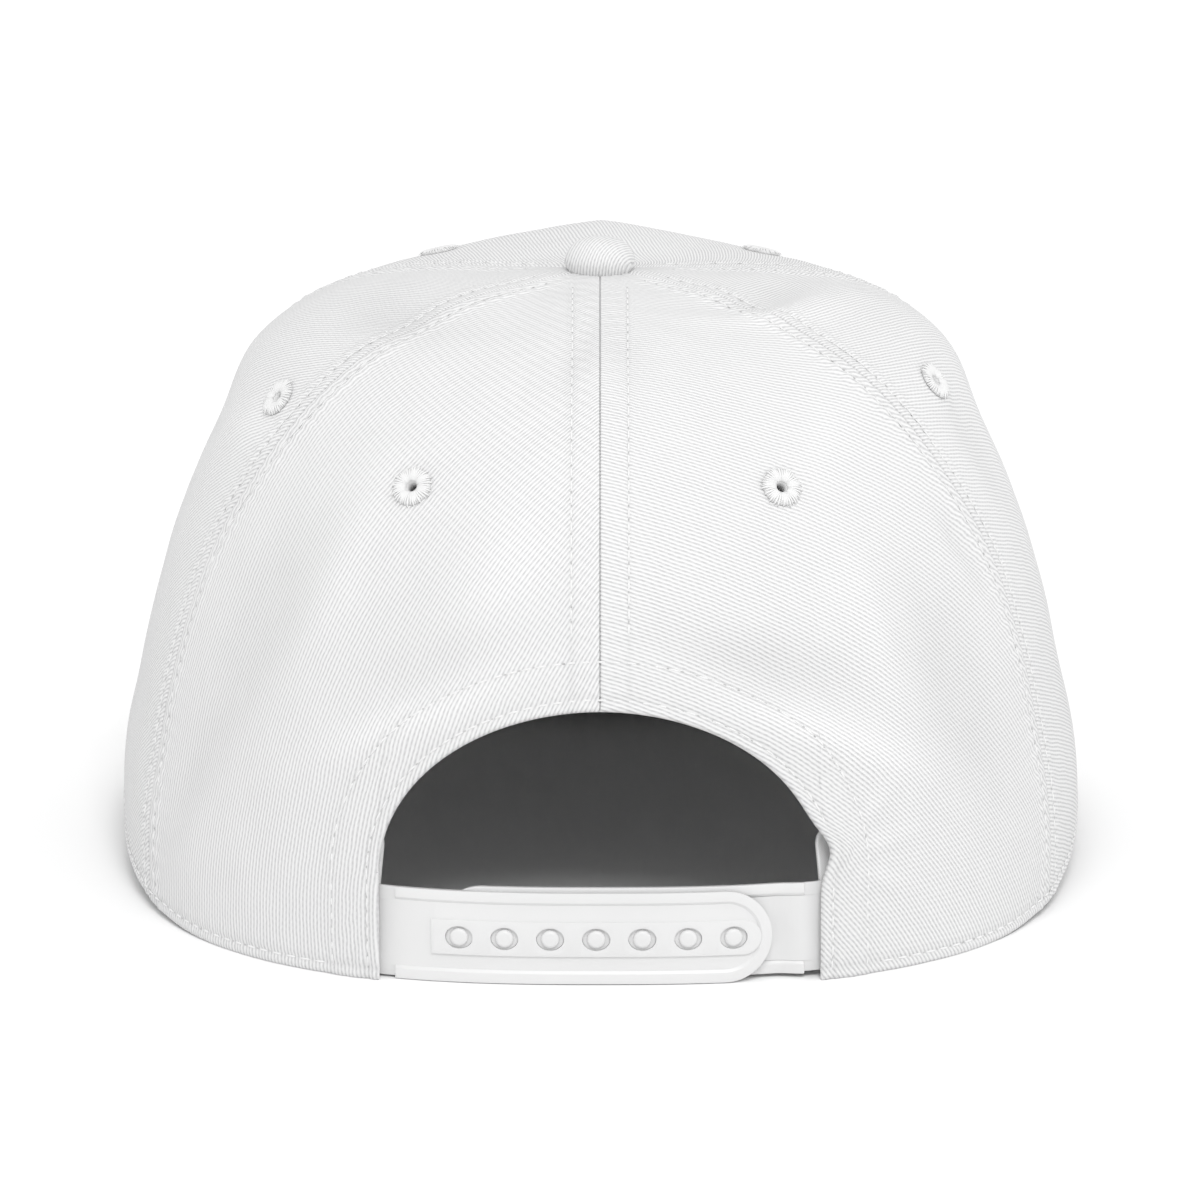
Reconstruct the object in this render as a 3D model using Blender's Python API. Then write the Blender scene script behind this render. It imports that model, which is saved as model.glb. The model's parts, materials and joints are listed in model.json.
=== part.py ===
"""Five-panel cap with a snap strap at the back, resting on a surface.

Metres, +Z up. The peak points along -Y and the strap along +Y, so +X is the wearer's left.
The crown is one smooth surface, worked out from a short table of rings and measured by two
numbers: an angle around the crown (0 at the back, 180 degrees at the front) and a level, 0 at
the rim and 1 at the button. Panels, bands, straps and eyelets are all placed on that surface.
"""
import math
from collections import namedtuple

import bmesh
import bpy
from mathutils import Matrix, Vector

# crown
CROWN_HALF_WIDTH = 0.096
BACK_REACH = 0.090            # button axis to the back rim
FRONT_REACH = 0.086           # button axis to the front rim
WIDEST_FORWARD = 0.016        # the rim is widest this far in front of the button axis
CROWN_HEIGHT = 0.116          # floor to the crown's top, under the button
SIDE_RIM_LIFT = 0.008         # the rim rises off the floor at the sides
FRONT_RIM_LIFT = 0.0125       # and above the middle of the peak
PANEL_WALL = 0.0016
PIECE_GAP = 0.0003            # clearance between neighbouring pieces

# opening over the strap: straight sides with half an ellipse on them
OPENING_HALF_WIDTH = 0.041
OPENING_SIDE_HEIGHT = 0.020
OPENING_ARCH_HEIGHT = 0.0305

# peak
PEAK_LENGTH = 0.069           # front rim to the peak's front edge
PEAK_HALF_WIDTH = 0.092
PEAK_THICKNESS = 0.003
PEAK_DROP = 0.003             # the front edge lies this much lower than the root
PEAK_ROOT_SPAN = math.radians(66)
PEAK_SQUARENESS = 2.4         # power of the peak's outline, 2 for an ellipse

# sweatband
SWEATBAND_HEIGHT = 0.029
SWEATBAND_WALL = 0.0012
SWEATBAND_HEM = 0.001         # its lower edge lies this far above the rim
SWEATBAND_SHOWS = 0.0018      # its right end passes the opening's side by this much
SWEATBAND_STEP_START = 0.002  # past the sewn ends of the straps it steps out to the panels,
SWEATBAND_STEP_LENGTH = 0.012  # over this length

# straps
STRAP_HEIGHT = 0.0174
STRAP_THICKNESS = 0.0015
STRAP_BORDER = 0.0021
STRAP_RELIEF = 0.0004
STRAP_SEWN_IN = 0.009         # how far a strap reaches in behind its panel
STRAP_ROOT_STEP = 0.0004      # the strap is this much narrower, top and bottom, at its root
STRAP_ROOT_LENGTH = 0.0038    # from the opening's side to that step
STRAP_FLOOR_GAP = 0.0003
HOLE_STRAP_TIP_INSET = 0.0015  # last hole to the middle of the outer strap's round end
PEG_STRAP_TIP_INSET = 0.004   # first peg to the middle of the inner strap's round end
PEG_STRAP_RAISE = 0.0007      # the inner strap lies this much higher
PEG_STRAP_BEND_START = 0.001  # past the outer strap's free end the inner one bends outwards,
PEG_STRAP_BEND_LENGTH = 0.006  # over this length
SNAP_COUNT = 7
SNAP_PITCH = 0.00855
SNAP_MIDDLE = 0.0007          # the row's middle, from the cap's middle plane
SNAP_DROP = 0.0002            # the row lies this far under the strap's middle line
HOLE_LENGTH = 0.0051
HOLE_HEIGHT = 0.0042
PEG_DIAMETER = 0.0032
PEG_PROUD = 0.0002
CHANNEL_HEIGHT = 0.0066
CHANNEL_END = 0.0052          # the raised channel reaches this far past its first and last hole

# button
BUTTON_DIAMETER = 0.0136
BUTTON_FOOT_DIAMETER = 0.0126
BUTTON_HEIGHT = 0.0058
BUTTON_SKIRT = 0.0016         # height of the straight side under the dome
BUTTON_STEPS = 6
BUTTON_SIDES = 24

# eyelets
EYELET_DIAMETER = 0.0080
EYELET_HOLE = 0.0022
EYELET_BARREL = 0.0035
EYELET_PROUD = 0.0007
EYELET_BACK_DIAMETER = 0.0066
EYELET_BACK_WALL = 0.0005
EYELET_BACK_CLEARANCE = 0.0005  # between an eyelet's inner ring and the hollow of the cloth
EYELET_STEPS = 4

# heights are shares of CROWN_HEIGHT, and reaches are shares of BACK_REACH, CROWN_HALF_WIDTH and
# FRONT_REACH; squareness is the power of the ring's outline, 2 for an ellipse; the seams are
# angles in degrees of the seam behind the side panel and of the seam in front of it
Ring = namedtuple("Ring", "name high_back high_side high_front back side front "
                          "squareness rear_seam fore_seam")
CROWN_RINGS = [
    Ring("rim",      0.000, 0.000, 0.000, 1.000, 1.000, 1.000, 2.60, 55, 112),
    Ring("hem",      0.140, 0.130, 0.150, 0.992, 0.994, 0.995, 2.50, 57, 112),
    Ring("low",      0.290, 0.270, 0.310, 0.958, 0.962, 0.985, 2.40, 59, 112),
    Ring("middle",   0.450, 0.420, 0.480, 0.895, 0.925, 0.970, 2.30, 60, 112),
    Ring("high",     0.610, 0.580, 0.650, 0.812, 0.870, 0.945, 2.20, 60, 111),
    Ring("shoulder", 0.750, 0.735, 0.810, 0.702, 0.793, 0.900, 2.15, 56, 110),
    Ring("upper",    0.860, 0.865, 0.950, 0.565, 0.715, 0.790, 2.00, 52, 108),
    Ring("dome",     0.935, 0.950, 1.010, 0.398, 0.568, 0.600, 1.85, 51, 105),
    Ring("top",      0.980, 0.990, 1.018, 0.220, 0.342, 0.350, 1.90, 52, 104),
    Ring("button",   1.000, 1.000, 1.000, 0.060, 0.060, 0.060, 2.00, 54, 106),
]
FLAT_RIM_TURN = 0.64          # sine of the angle up to which the back rim lies on the floor
SIDE_LIFT_POWER = 2.2
FRONT_LIFT_POWER = 3
LIFT_FADES_AT = 0.45          # level at which the rim's rise has faded out
FRONT_RIDGE = 1.15            # 2 is a round front, 1 a folded one

# eyelets, by angle in degrees (the wearer's left is positive) and level, and the panel of each
EyeletPlace = namedtuple("EyeletPlace", "name angle level panel")
EYELET_PLACES = [
    EyeletPlace("back_left", 27, 0.557, "back_panel_left"),
    EyeletPlace("back_right", -26, 0.557, "back_panel_right"),
    EyeletPlace("side_left", 61, 0.633, "side_panel_left"),
    EyeletPlace("side_right", -68, 0.645, "side_panel_right"),
    EyeletPlace("front_left", 131, 0.800, "front_panel"),
    EyeletPlace("front_right", -131, 0.800, "front_panel"),
]

# mesh fineness
ROWS_ABOVE = 15               # rows from the opening's straight sides up to the button
ROWS_BELOW = 3
ARCH_COLUMNS = 6
BACK_COLUMNS = 7
SIDE_COLUMNS = 9
FRONT_COLUMNS = 26
PEAK_COLUMNS = 28
PEAK_ROWS = 5
SWEATBAND_COLUMNS = 54
SWEATBAND_ROWS = 2
STRAP_SLICE = 0.004
ROUND_SIDES = 12
NORMAL_STEP = 0.004           # angle and level step over which the surface's normal is measured
SEARCH_STEPS = 34
PLACE_PASSES = 6
MERGE_DISTANCE = 1e-7
SHARP_EDGE = math.radians(35)


def blend(a, b, share):
    return a + (b - a) * share


def ease(share):
    """Smooth step from 0 to 1."""
    share = min(max(share, 0.0), 1.0)
    return share * share * (3 - 2 * share)


def search(low, high, is_below):
    """Value between low and high at which is_below turns from true to false."""
    for _ in range(SEARCH_STEPS):
        middle = (low + high) / 2
        if is_below(middle):
            low = middle
        else:
            high = middle
    return (low + high) / 2


def ring_at(level):
    """The ring table's row at any level, read along a smooth curve through its rows."""
    last = len(CROWN_RINGS) - 1
    place = min(max(level, 0.0), 1.0) * last
    row = min(int(place), last - 1)
    share = place - row
    rows = [CROWN_RINGS[min(max(row + step, 0), last)][1:] for step in (-1, 0, 1, 2)]
    if row == 0:
        rows[0] = [2 * b - c for b, c in zip(rows[1], rows[2])]
    if row == last - 1:
        rows[3] = [2 * c - b for b, c in zip(rows[1], rows[2])]
    values = []
    for before, start, end, after in zip(*rows):
        bend = 2 * before - 5 * start + 4 * end - after
        twist = 3 * start - before - 3 * end + after
        curve = 2 * start + (end - before) * share + bend * share ** 2 + twist * share ** 3
        values.append(curve / 2)
    return Ring("", *values)


def rim_lift(angle):
    """Height of the rim above the floor."""
    side = max(abs(math.sin(angle)) - FLAT_RIM_TURN, 0.0) / (1 - FLAT_RIM_TURN)
    front = max(-math.cos(angle), 0.0)
    return SIDE_RIM_LIFT * side ** SIDE_LIFT_POWER + FRONT_RIM_LIFT * front ** FRONT_LIFT_POWER


def ring_middle(ring):
    """How far back a ring's middle lies from the button axis."""
    return -WIDEST_FORWARD * ring.side


def outer_point(angle, level):
    """Point of the crown's outer face."""
    ring = ring_at(level)
    across, along = math.sin(angle), math.cos(angle)
    middle = ring_middle(ring)
    half_width = CROWN_HALF_WIDTH * ring.side
    if along >= 0:
        reach = BACK_REACH * ring.back - middle
        end_height = ring.high_back
        side_share = across ** 2
    else:
        reach = FRONT_REACH * ring.front + middle
        end_height = ring.high_front
        side_share = abs(across) ** FRONT_RIDGE
    power = ring.squareness
    radius = (abs(across / half_width) ** power + abs(along / reach) ** power) ** (-1 / power)
    height = CROWN_HEIGHT * blend(end_height, ring.high_side, side_share)
    height += rim_lift(angle) * max(1 - level / LIFT_FADES_AT, 0.0)
    return Vector((radius * across, middle + radius * along, height))


def outward(angle, level):
    """Unit normal of the crown's outer face."""
    low, high = max(level - NORMAL_STEP, 0.0), min(level + NORMAL_STEP, 1.0)
    around = outer_point(angle + NORMAL_STEP, level) - outer_point(angle - NORMAL_STEP, level)
    upward = outer_point(angle, high) - outer_point(angle, low)
    return upward.cross(around).normalized()


def crown_point(angle, level, depth):
    """Point at a depth under the outer face; at the rim the wall is cut level."""
    point = outer_point(angle, level)
    if depth == 0:
        return point
    inside = point - outward(angle, level) * depth
    if level == 0:
        inside.z = point.z
    return inside


def angle_at_x(x, level, depth=0):
    """Angle, on the back half, at which the face at this depth has this x."""
    return search(-math.pi / 2, math.pi / 2, lambda angle: crown_point(angle, level, depth).x < x)


def level_at_height(angle, height):
    """Level at which the outer face stands this high above the rim."""
    base = outer_point(angle, 0).z
    return search(0, 1, lambda level: outer_point(angle, level).z - base < height)


def back_place(x, z):
    """Angle and level of the point of the back wall with this x and z."""
    level = 0
    for _ in range(PLACE_PASSES):
        angle = angle_at_x(x, level)
        level = level_at_height(angle, z - outer_point(angle, 0).z)
    return angle, level


def make_material(name, color, roughness):
    material = bpy.data.materials.new(name)
    material.use_nodes = True
    shader = material.node_tree.nodes["Principled BSDF"]
    shader.inputs["Base Color"].default_value = (*color, 1)
    shader.inputs["Roughness"].default_value = roughness
    shader.inputs["Metallic"].default_value = 0
    return material


def add_object(name, mesh, material=None):
    if material:
        mesh.materials.append(material)
    thing = bpy.data.objects.new(name, mesh)
    bpy.context.scene.collection.objects.link(thing)
    return thing


def finish_mesh(bm, name):
    """Face everything outwards and hand the mesh over."""
    bmesh.ops.recalc_face_normals(bm, faces=bm.faces)
    mesh = bpy.data.meshes.new(name)
    bm.to_mesh(mesh)
    bm.free()
    return mesh


def shell_mesh(name, outer_columns, inner_columns):
    """Closed wall between two matching grids whose columns line up at their upper ends."""
    bm = bmesh.new()
    outer = [[bm.verts.new(point) for point in column] for column in outer_columns]
    inner = [[bm.verts.new(point) for point in column] for column in inner_columns]
    for grid in (outer, inner):
        for left, right in zip(grid, grid[1:]):
            for row in range(1, min(len(left), len(right))):
                bm.faces.new((left[-row - 1], right[-row - 1], right[-row], left[-row]))
    facing = {}
    for outer_column, inner_column in zip(outer, inner):
        facing.update(zip(outer_column, inner_column))
    open_edges = [edge for edge in bm.edges if edge.is_boundary and edge.verts[0] in facing]
    for edge in open_edges:
        start, end = edge.verts
        bm.faces.new((start, end, facing[end], facing[start]))
    return finish_mesh(bm, name)


def turned_mesh(name, profile, sides):
    """Outline of (radius, height) points spun about Z: a closed one, or one from axis to axis."""
    bm = bmesh.new()
    hoops = []
    for side in range(sides):
        turn = 2 * math.pi * side / sides
        hoops.append([bm.verts.new((r * math.cos(turn), r * math.sin(turn), z)) for r, z in profile])
    solid = profile[0][0] == 0
    starts = range(len(profile) - 1) if solid else range(len(profile))
    for hoop, following in zip(hoops, hoops[1:] + hoops[:1]):
        for start in starts:
            end = (start + 1) % len(profile)
            bm.faces.new((hoop[start], following[start], following[end], hoop[end]))
    bmesh.ops.remove_doubles(bm, verts=bm.verts, dist=MERGE_DISTANCE)
    return finish_mesh(bm, name)


def seam_edge(seam_angle, side, level):
    """Edge of a panel beside a seam: half the piece gap away, on the side given by the sign."""
    point = outer_point(seam_angle, level)
    radius = math.hypot(point.x, point.y - ring_middle(ring_at(level)))
    return seam_angle + side * (PIECE_GAP / 2) / radius


def rear_seam(level):
    return math.radians(ring_at(level).rear_seam)


def fore_seam(level):
    return math.radians(ring_at(level).fore_seam)


def even_levels(low, high, rows):
    return [blend(low, high, row / rows) for row in range(rows + 1)]


def wall_between(near_edge, far_edge, columns):
    """Places of a plain panel between two edges, each a function of level."""
    levels = even_levels(0, 1, ROWS_BELOW + ROWS_ABOVE)
    places = []
    for column in range(columns + 1):
        share = column / columns
        places.append([(blend(near_edge(level), far_edge(level), share), level) for level in levels])
    return places


def back_panel_places():
    """Places of a back panel, whose lower corner is cut away by the opening over the strap."""
    spring_angle, spring = back_place(OPENING_HALF_WIDTH, OPENING_SIDE_HEIGHT)

    def near(level):
        return seam_edge(0, 1, level)

    def far(level):
        return seam_edge(rear_seam(level), -1, level)

    open_share = (spring_angle - near(spring)) / (far(spring) - near(spring))

    def side_of_opening(level):
        if level <= spring:
            return angle_at_x(OPENING_HALF_WIDTH, level)
        return blend(near(level), far(level), open_share)

    def inside_opening(share, level):
        point = outer_point(blend(near(level), side_of_opening(level), share), level)
        rise = (point.z - OPENING_SIDE_HEIGHT) / OPENING_ARCH_HEIGHT
        return (point.x / OPENING_HALF_WIDTH) ** 2 + rise * abs(rise) < 1

    places = []
    for column in range(ARCH_COLUMNS):
        share = math.sin(math.pi / 2 * column / ARCH_COLUMNS)
        arch = search(spring, 1, lambda level: inside_opening(share, level))
        levels = even_levels(arch, 1, ROWS_ABOVE)
        places.append([(blend(near(level), side_of_opening(level), share), level) for level in levels])
    levels = even_levels(0, spring, ROWS_BELOW)[:-1] + even_levels(spring, 1, ROWS_ABOVE)
    for column in range(BACK_COLUMNS + 1):
        share = column / BACK_COLUMNS
        places.append([(blend(side_of_opening(level), far(level), share), level) for level in levels])
    return places


def eyelet_frame(place):
    """Matrix that stands Z on the crown at an eyelet's place."""
    angle = math.radians(place.angle)
    turn = Vector((0, 0, 1)).rotation_difference(outward(angle, place.level))
    return Matrix.Translation(outer_point(angle, place.level)) @ turn.to_matrix().to_4x4()


def cut_eyelet_holes(panel):
    """Bore the panel for its eyelets, with a cutter that stays out of the model."""
    bm = bmesh.new()
    radius = EYELET_BARREL / 2 + PIECE_GAP
    for place in EYELET_PLACES:
        if place.panel == panel.name:
            bmesh.ops.create_cone(bm, cap_ends=True, segments=ROUND_SIDES, radius1=radius, radius2=radius,
                                  depth=6 * PANEL_WALL, matrix=eyelet_frame(place))
    cutter = add_object(panel.name + "_bore", finish_mesh(bm, panel.name + "_bore"))
    cutter.hide_render = True
    cutter.display_type = "WIRE"
    cutter.parent = panel
    cut = panel.modifiers.new("eyelet_holes", "BOOLEAN")
    cut.operation = "DIFFERENCE"
    cut.object = cutter


def make_panels(cloth):
    """The five panels of the crown; the right ones are worked out at negative angles."""
    def behind_rear(level):
        return seam_edge(rear_seam(level), 1, level)

    def before_fore(level):
        return seam_edge(fore_seam(level), -1, level)

    def past_fore(level):
        return seam_edge(fore_seam(level), 1, level)

    back = back_panel_places()
    side = wall_between(behind_rear, before_fore, SIDE_COLUMNS)
    front = wall_between(past_fore, lambda level: 2 * math.pi - past_fore(level), FRONT_COLUMNS)
    panels = [
        ("back_panel_left", back, 1),
        ("back_panel_right", back, -1),
        ("side_panel_left", side, 1),
        ("side_panel_right", side, -1),
        ("front_panel", front, 1),
    ]
    for name, places, sign in panels:
        outer = [[crown_point(sign * angle, level, 0) for angle, level in column] for column in places]
        inner = [[crown_point(sign * angle, level, PANEL_WALL) for angle, level in column]
                 for column in places]
        cut_eyelet_holes(add_object(name, shell_mesh(name, outer, inner), cloth))


def make_eyelets(thread):
    """Six embroidered eyelets: a domed ring outside, a barrel through the cloth, a flat ring inside."""
    under = -PANEL_WALL - EYELET_BACK_CLEARANCE
    hole = EYELET_HOLE / 2
    profile = [
        (hole, under - EYELET_BACK_WALL),
        (EYELET_BACK_DIAMETER / 2, under - EYELET_BACK_WALL),
        (EYELET_BACK_DIAMETER / 2, under),
        (EYELET_BARREL / 2, under),
        (EYELET_BARREL / 2, PIECE_GAP),
    ]
    half_ring = (EYELET_DIAMETER / 2 - hole) / 2
    for step in range(EYELET_STEPS + 1):
        turn = math.pi * step / EYELET_STEPS
        profile.append((hole + half_ring * (1 + math.cos(turn)), PIECE_GAP + EYELET_PROUD * math.sin(turn)))
    for place in EYELET_PLACES:
        name = "eyelet_" + place.name
        eyelet = add_object(name, turned_mesh(name, profile, ROUND_SIDES), thread)
        eyelet.matrix_world = eyelet_frame(place)


def make_button(cloth):
    """Cloth-covered button: a dome with a short stem between the panels' ends."""
    stem = CROWN_RINGS[-1].front * FRONT_REACH - PIECE_GAP
    crest = max(outer_point(math.radians(turn), level).z
                for turn in range(0, 360, 15) for level in even_levels(0.96, 1, 4))
    foot = crest + PIECE_GAP
    profile = [(0, CROWN_HEIGHT - PANEL_WALL), (stem, CROWN_HEIGHT - PANEL_WALL), (stem, foot),
               (BUTTON_FOOT_DIAMETER / 2, foot)]
    for step in range(BUTTON_STEPS):
        turn = math.pi / 2 * step / BUTTON_STEPS
        rise = BUTTON_SKIRT + (BUTTON_HEIGHT - BUTTON_SKIRT) * math.sin(turn)
        profile.append((BUTTON_DIAMETER / 2 * math.cos(turn), foot + rise))
    profile.append((0, foot + BUTTON_HEIGHT))
    add_object("top_button", turned_mesh("top_button", profile, BUTTON_SIDES), cloth)


def make_peak(cloth):
    """Peak, sewn in under the front rim and arched so that its two sides touch the floor."""
    corner = outer_point(math.pi - PEAK_ROOT_SPAN, 0)
    front_edge = -FRONT_REACH - PEAK_LENGTH
    root_top = outer_point(math.pi, 0).z - PIECE_GAP
    arch = root_top - PEAK_DROP - PEAK_THICKNESS
    outline_power = 2 / PEAK_SQUARENESS

    def top_point(across, forward):
        """across runs from -1 to 1 along the root, forward from 0 at the root to 1 at the edge."""
        root = crown_point(math.pi - PEAK_ROOT_SPAN * across, 0, PANEL_WALL)
        root.z -= PIECE_GAP
        turn = math.pi / 2 * across
        edge_x = PEAK_HALF_WIDTH * math.copysign(abs(math.sin(turn)) ** outline_power, across)
        edge_y = blend(corner.y, front_edge, abs(math.cos(turn)) ** outline_power)
        edge_z = PEAK_THICKNESS + arch * (1 - (edge_x / PEAK_HALF_WIDTH) ** 2)
        return root.lerp(Vector((edge_x, edge_y, edge_z)), forward)

    shares = [math.sin(math.pi / 2 * share) for share in even_levels(-1, 1, PEAK_COLUMNS)]
    top = [[top_point(share, forward) for forward in even_levels(0, 1, PEAK_ROWS)] for share in shares]
    bottom = [[point - Vector((0, 0, PEAK_THICKNESS)) for point in column] for column in top]
    add_object("peak", shell_mesh("peak", top, bottom), cloth)


def strap_depth():
    """Depth of the outer strap's face: right behind the panels."""
    return PANEL_WALL + PIECE_GAP


def behind_strap(depth):
    """Depth right behind a strap whose outer face lies at this depth."""
    return depth + STRAP_THICKNESS + PIECE_GAP


def sweatband_depth(x):
    """Depth of the sweatband's outer face: it steps in behind the sewn ends of the straps."""
    step_start = OPENING_HALF_WIDTH + STRAP_SEWN_IN + SWEATBAND_STEP_START
    share = ease((abs(x) - step_start) / SWEATBAND_STEP_LENGTH)
    return blend(behind_strap(strap_depth()), strap_depth(), share)


def make_sweatband(ribbon):
    """Band inside the rim, from one side of the opening round the front to the other."""
    inner_face = behind_strap(strap_depth()) + SWEATBAND_WALL
    left = angle_at_x(OPENING_HALF_WIDTH + PIECE_GAP, 0, inner_face)
    right = 2 * math.pi + angle_at_x(SWEATBAND_SHOWS - OPENING_HALF_WIDTH, 0, inner_face)
    heights = even_levels(SWEATBAND_HEM, SWEATBAND_HEIGHT, SWEATBAND_ROWS)
    outer, inner = [], []
    for angle in even_levels(left, right, SWEATBAND_COLUMNS):
        at_back = math.cos(angle) > 0
        depth = sweatband_depth(outer_point(angle, 0).x if at_back else CROWN_HALF_WIDTH)
        levels = [level_at_height(angle, height) for height in heights]
        outer.append([crown_point(angle, level, depth) for level in levels])
        inner.append([crown_point(angle, level, depth + SWEATBAND_WALL) for level in levels])
    add_object("sweatband", shell_mesh("sweatband", outer, inner), ribbon)


def round_end(tip_x, toward, radius, sides):
    """Half circle of (x, z) points, from top to bottom round a strap's end at tip_x."""
    centre = tip_x + toward * radius
    turns = [math.pi / 2 + math.pi * side / sides for side in range(sides + 1)]
    return [(centre + toward * radius * math.cos(turn), radius * math.sin(turn)) for turn in turns]


def flat_plate(points, near, far):
    """Mesh of an outline in (x, z), as thick as from near to far along Y."""
    bm = bmesh.new()
    face = bm.faces.new([bm.verts.new((x, near, z)) for x, z in points])
    grown = bmesh.ops.extrude_face_region(bm, geom=[face])
    moved = [item for item in grown["geom"] if isinstance(item, bmesh.types.BMVert)]
    bmesh.ops.translate(bm, verts=moved, vec=(0, far - near, 0))
    return bm


def join_flat(base, tools):
    """Flat piece after a list of (operation, tool mesh) Booleans, as one evaluated bmesh."""
    blank = add_object("flat_blank", finish_mesh(base, "flat_blank"))
    helpers = []
    for operation, bm in tools:
        tool = add_object("flat_tool", finish_mesh(bm, "flat_tool"))
        helpers.append(tool)
        step = blank.modifiers.new("step", "BOOLEAN")
        step.operation = operation
        step.object = tool
    depsgraph = bpy.context.evaluated_depsgraph_get()
    result = bmesh.new()
    result.from_mesh(blank.evaluated_get(depsgraph).to_mesh())
    for thing in helpers + [blank]:
        bpy.data.objects.remove(thing)
    return result


def oval_outline(x, z, length, height):
    turns = [2 * math.pi * side / ROUND_SIDES for side in range(ROUND_SIDES)]
    return [(x + length / 2 * math.cos(turn), z + height / 2 * math.sin(turn)) for turn in turns]


def snap_places():
    """x of each snap, from the wearer's left to the right."""
    middle = (SNAP_COUNT - 1) / 2
    return [SNAP_MIDDLE + (middle - snap) * SNAP_PITCH for snap in range(SNAP_COUNT)]


def hole_strap_tip():
    return snap_places()[-1] + HOLE_STRAP_TIP_INSET - STRAP_HEIGHT / 2


def strap_blank(tip_x, root_x):
    """Flat strap with a round free end, a narrower root and a raised border: y 0 is its outer face."""
    half = STRAP_HEIGHT / 2
    narrow = half - STRAP_ROOT_STEP
    toward = math.copysign(1, root_x - tip_x)
    step_x = toward * (OPENING_HALF_WIDTH - STRAP_ROOT_LENGTH)
    outline = round_end(tip_x, toward, half, ROUND_SIDES)
    outline += [(step_x, -half), (step_x, -narrow), (root_x, -narrow)]
    outline += [(root_x, narrow), (step_x, narrow), (step_x, half)]
    inner = half - STRAP_BORDER
    past_root = root_x + toward * STRAP_BORDER
    recess = round_end(tip_x + toward * STRAP_BORDER, toward, inner, ROUND_SIDES)
    recess += [(past_root, -inner), (past_root, inner)]
    base = flat_plate(outline, 0, STRAP_THICKNESS)
    return base, ("DIFFERENCE", flat_plate(recess, -STRAP_RELIEF, STRAP_RELIEF))


def bend_strap(flat, name, middle_z, depth_at, plastic):
    """Slice a flat strap, then lay it along the back wall: flat y is depth under its outer face."""
    ends = [vert.co.x for vert in flat.verts]
    slices = math.ceil((max(ends) - min(ends)) / STRAP_SLICE)
    for x in even_levels(min(ends), max(ends), slices)[1:-1]:
        everything = list(flat.verts) + list(flat.edges) + list(flat.faces)
        bmesh.ops.bisect_plane(flat, geom=everything, dist=MERGE_DISTANCE, plane_co=(x, 0, 0),
                               plane_no=(1, 0, 0))
    bmesh.ops.triangulate(flat, faces=flat.faces)
    for vert in flat.verts:
        angle, level = back_place(vert.co.x, middle_z + vert.co.z)
        depth = depth_at(vert.co.x) + vert.co.y
        vert.co = outer_point(angle, level) - outward(angle, level) * depth
    add_object(name, finish_mesh(flat, name), plastic)


def make_hole_strap(plastic):
    """Outer strap, sewn in on the wearer's left, with a raised channel and a row of oval holes."""
    snaps = snap_places()
    base, recess = strap_blank(hole_strap_tip(), OPENING_HALF_WIDTH + STRAP_SEWN_IN)
    rise = CHANNEL_HEIGHT / 2
    first = snaps[0] + CHANNEL_END
    outline = round_end(snaps[-1] - CHANNEL_END, 1, rise, ROUND_SIDES // 2)
    outline += [(first, -rise), (first, rise)]
    channel = [(x, z - SNAP_DROP) for x, z in outline]
    tools = [recess, ("UNION", flat_plate(channel, 0, STRAP_THICKNESS / 2))]
    for x in snaps:
        hole = oval_outline(x, -SNAP_DROP, HOLE_LENGTH, HOLE_HEIGHT)
        tools.append(("DIFFERENCE", flat_plate(hole, -STRAP_THICKNESS, 2 * STRAP_THICKNESS)))
    middle_z = STRAP_FLOOR_GAP + STRAP_HEIGHT / 2
    bend_strap(join_flat(base, tools), "hole_strap", middle_z, lambda x: strap_depth(), plastic)


def make_peg_strap(plastic):
    """Inner strap, sewn in on the wearer's right, with a peg through each of the outer strap's holes."""
    snaps = snap_places()
    tip_x = snaps[0] - PEG_STRAP_TIP_INSET + STRAP_HEIGHT / 2
    base, recess = strap_blank(tip_x, -OPENING_HALF_WIDTH - STRAP_SEWN_IN)
    tools = [recess]
    reach = -PIECE_GAP - STRAP_THICKNESS - PEG_PROUD
    for x in snaps:
        peg = oval_outline(x, -SNAP_DROP - PEG_STRAP_RAISE, PEG_DIAMETER, PEG_DIAMETER)
        tools.append(("UNION", flat_plate(peg, reach, STRAP_THICKNESS / 2)))

    def depth_at(x):
        """Under the outer strap along most of its length, then out to the panel past its free end."""
        share = ease((hole_strap_tip() - PEG_STRAP_BEND_START - x) / PEG_STRAP_BEND_LENGTH)
        return blend(behind_strap(strap_depth()), strap_depth(), share)

    middle_z = STRAP_FLOOR_GAP + STRAP_HEIGHT / 2 + PEG_STRAP_RAISE
    bend_strap(join_flat(base, tools), "peg_strap", middle_z, depth_at, plastic)


def stand_on_origin(things):
    """Parent everything to an empty that puts the model's lowest middle point at the origin."""
    bpy.context.view_layer.update()
    corners = []
    for thing in things:
        corners += [thing.matrix_world @ vert.co for vert in thing.data.vertices]
    low = [min(corner[axis] for corner in corners) for axis in range(3)]
    high = [max(corner[axis] for corner in corners) for axis in range(3)]
    middle = bpy.data.objects.new("cap_middle", None)
    bpy.context.scene.collection.objects.link(middle)
    for thing in things:
        thing.parent = middle
    middle.location = (-(low[0] + high[0]) / 2, -(low[1] + high[1]) / 2, -low[2])


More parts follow.
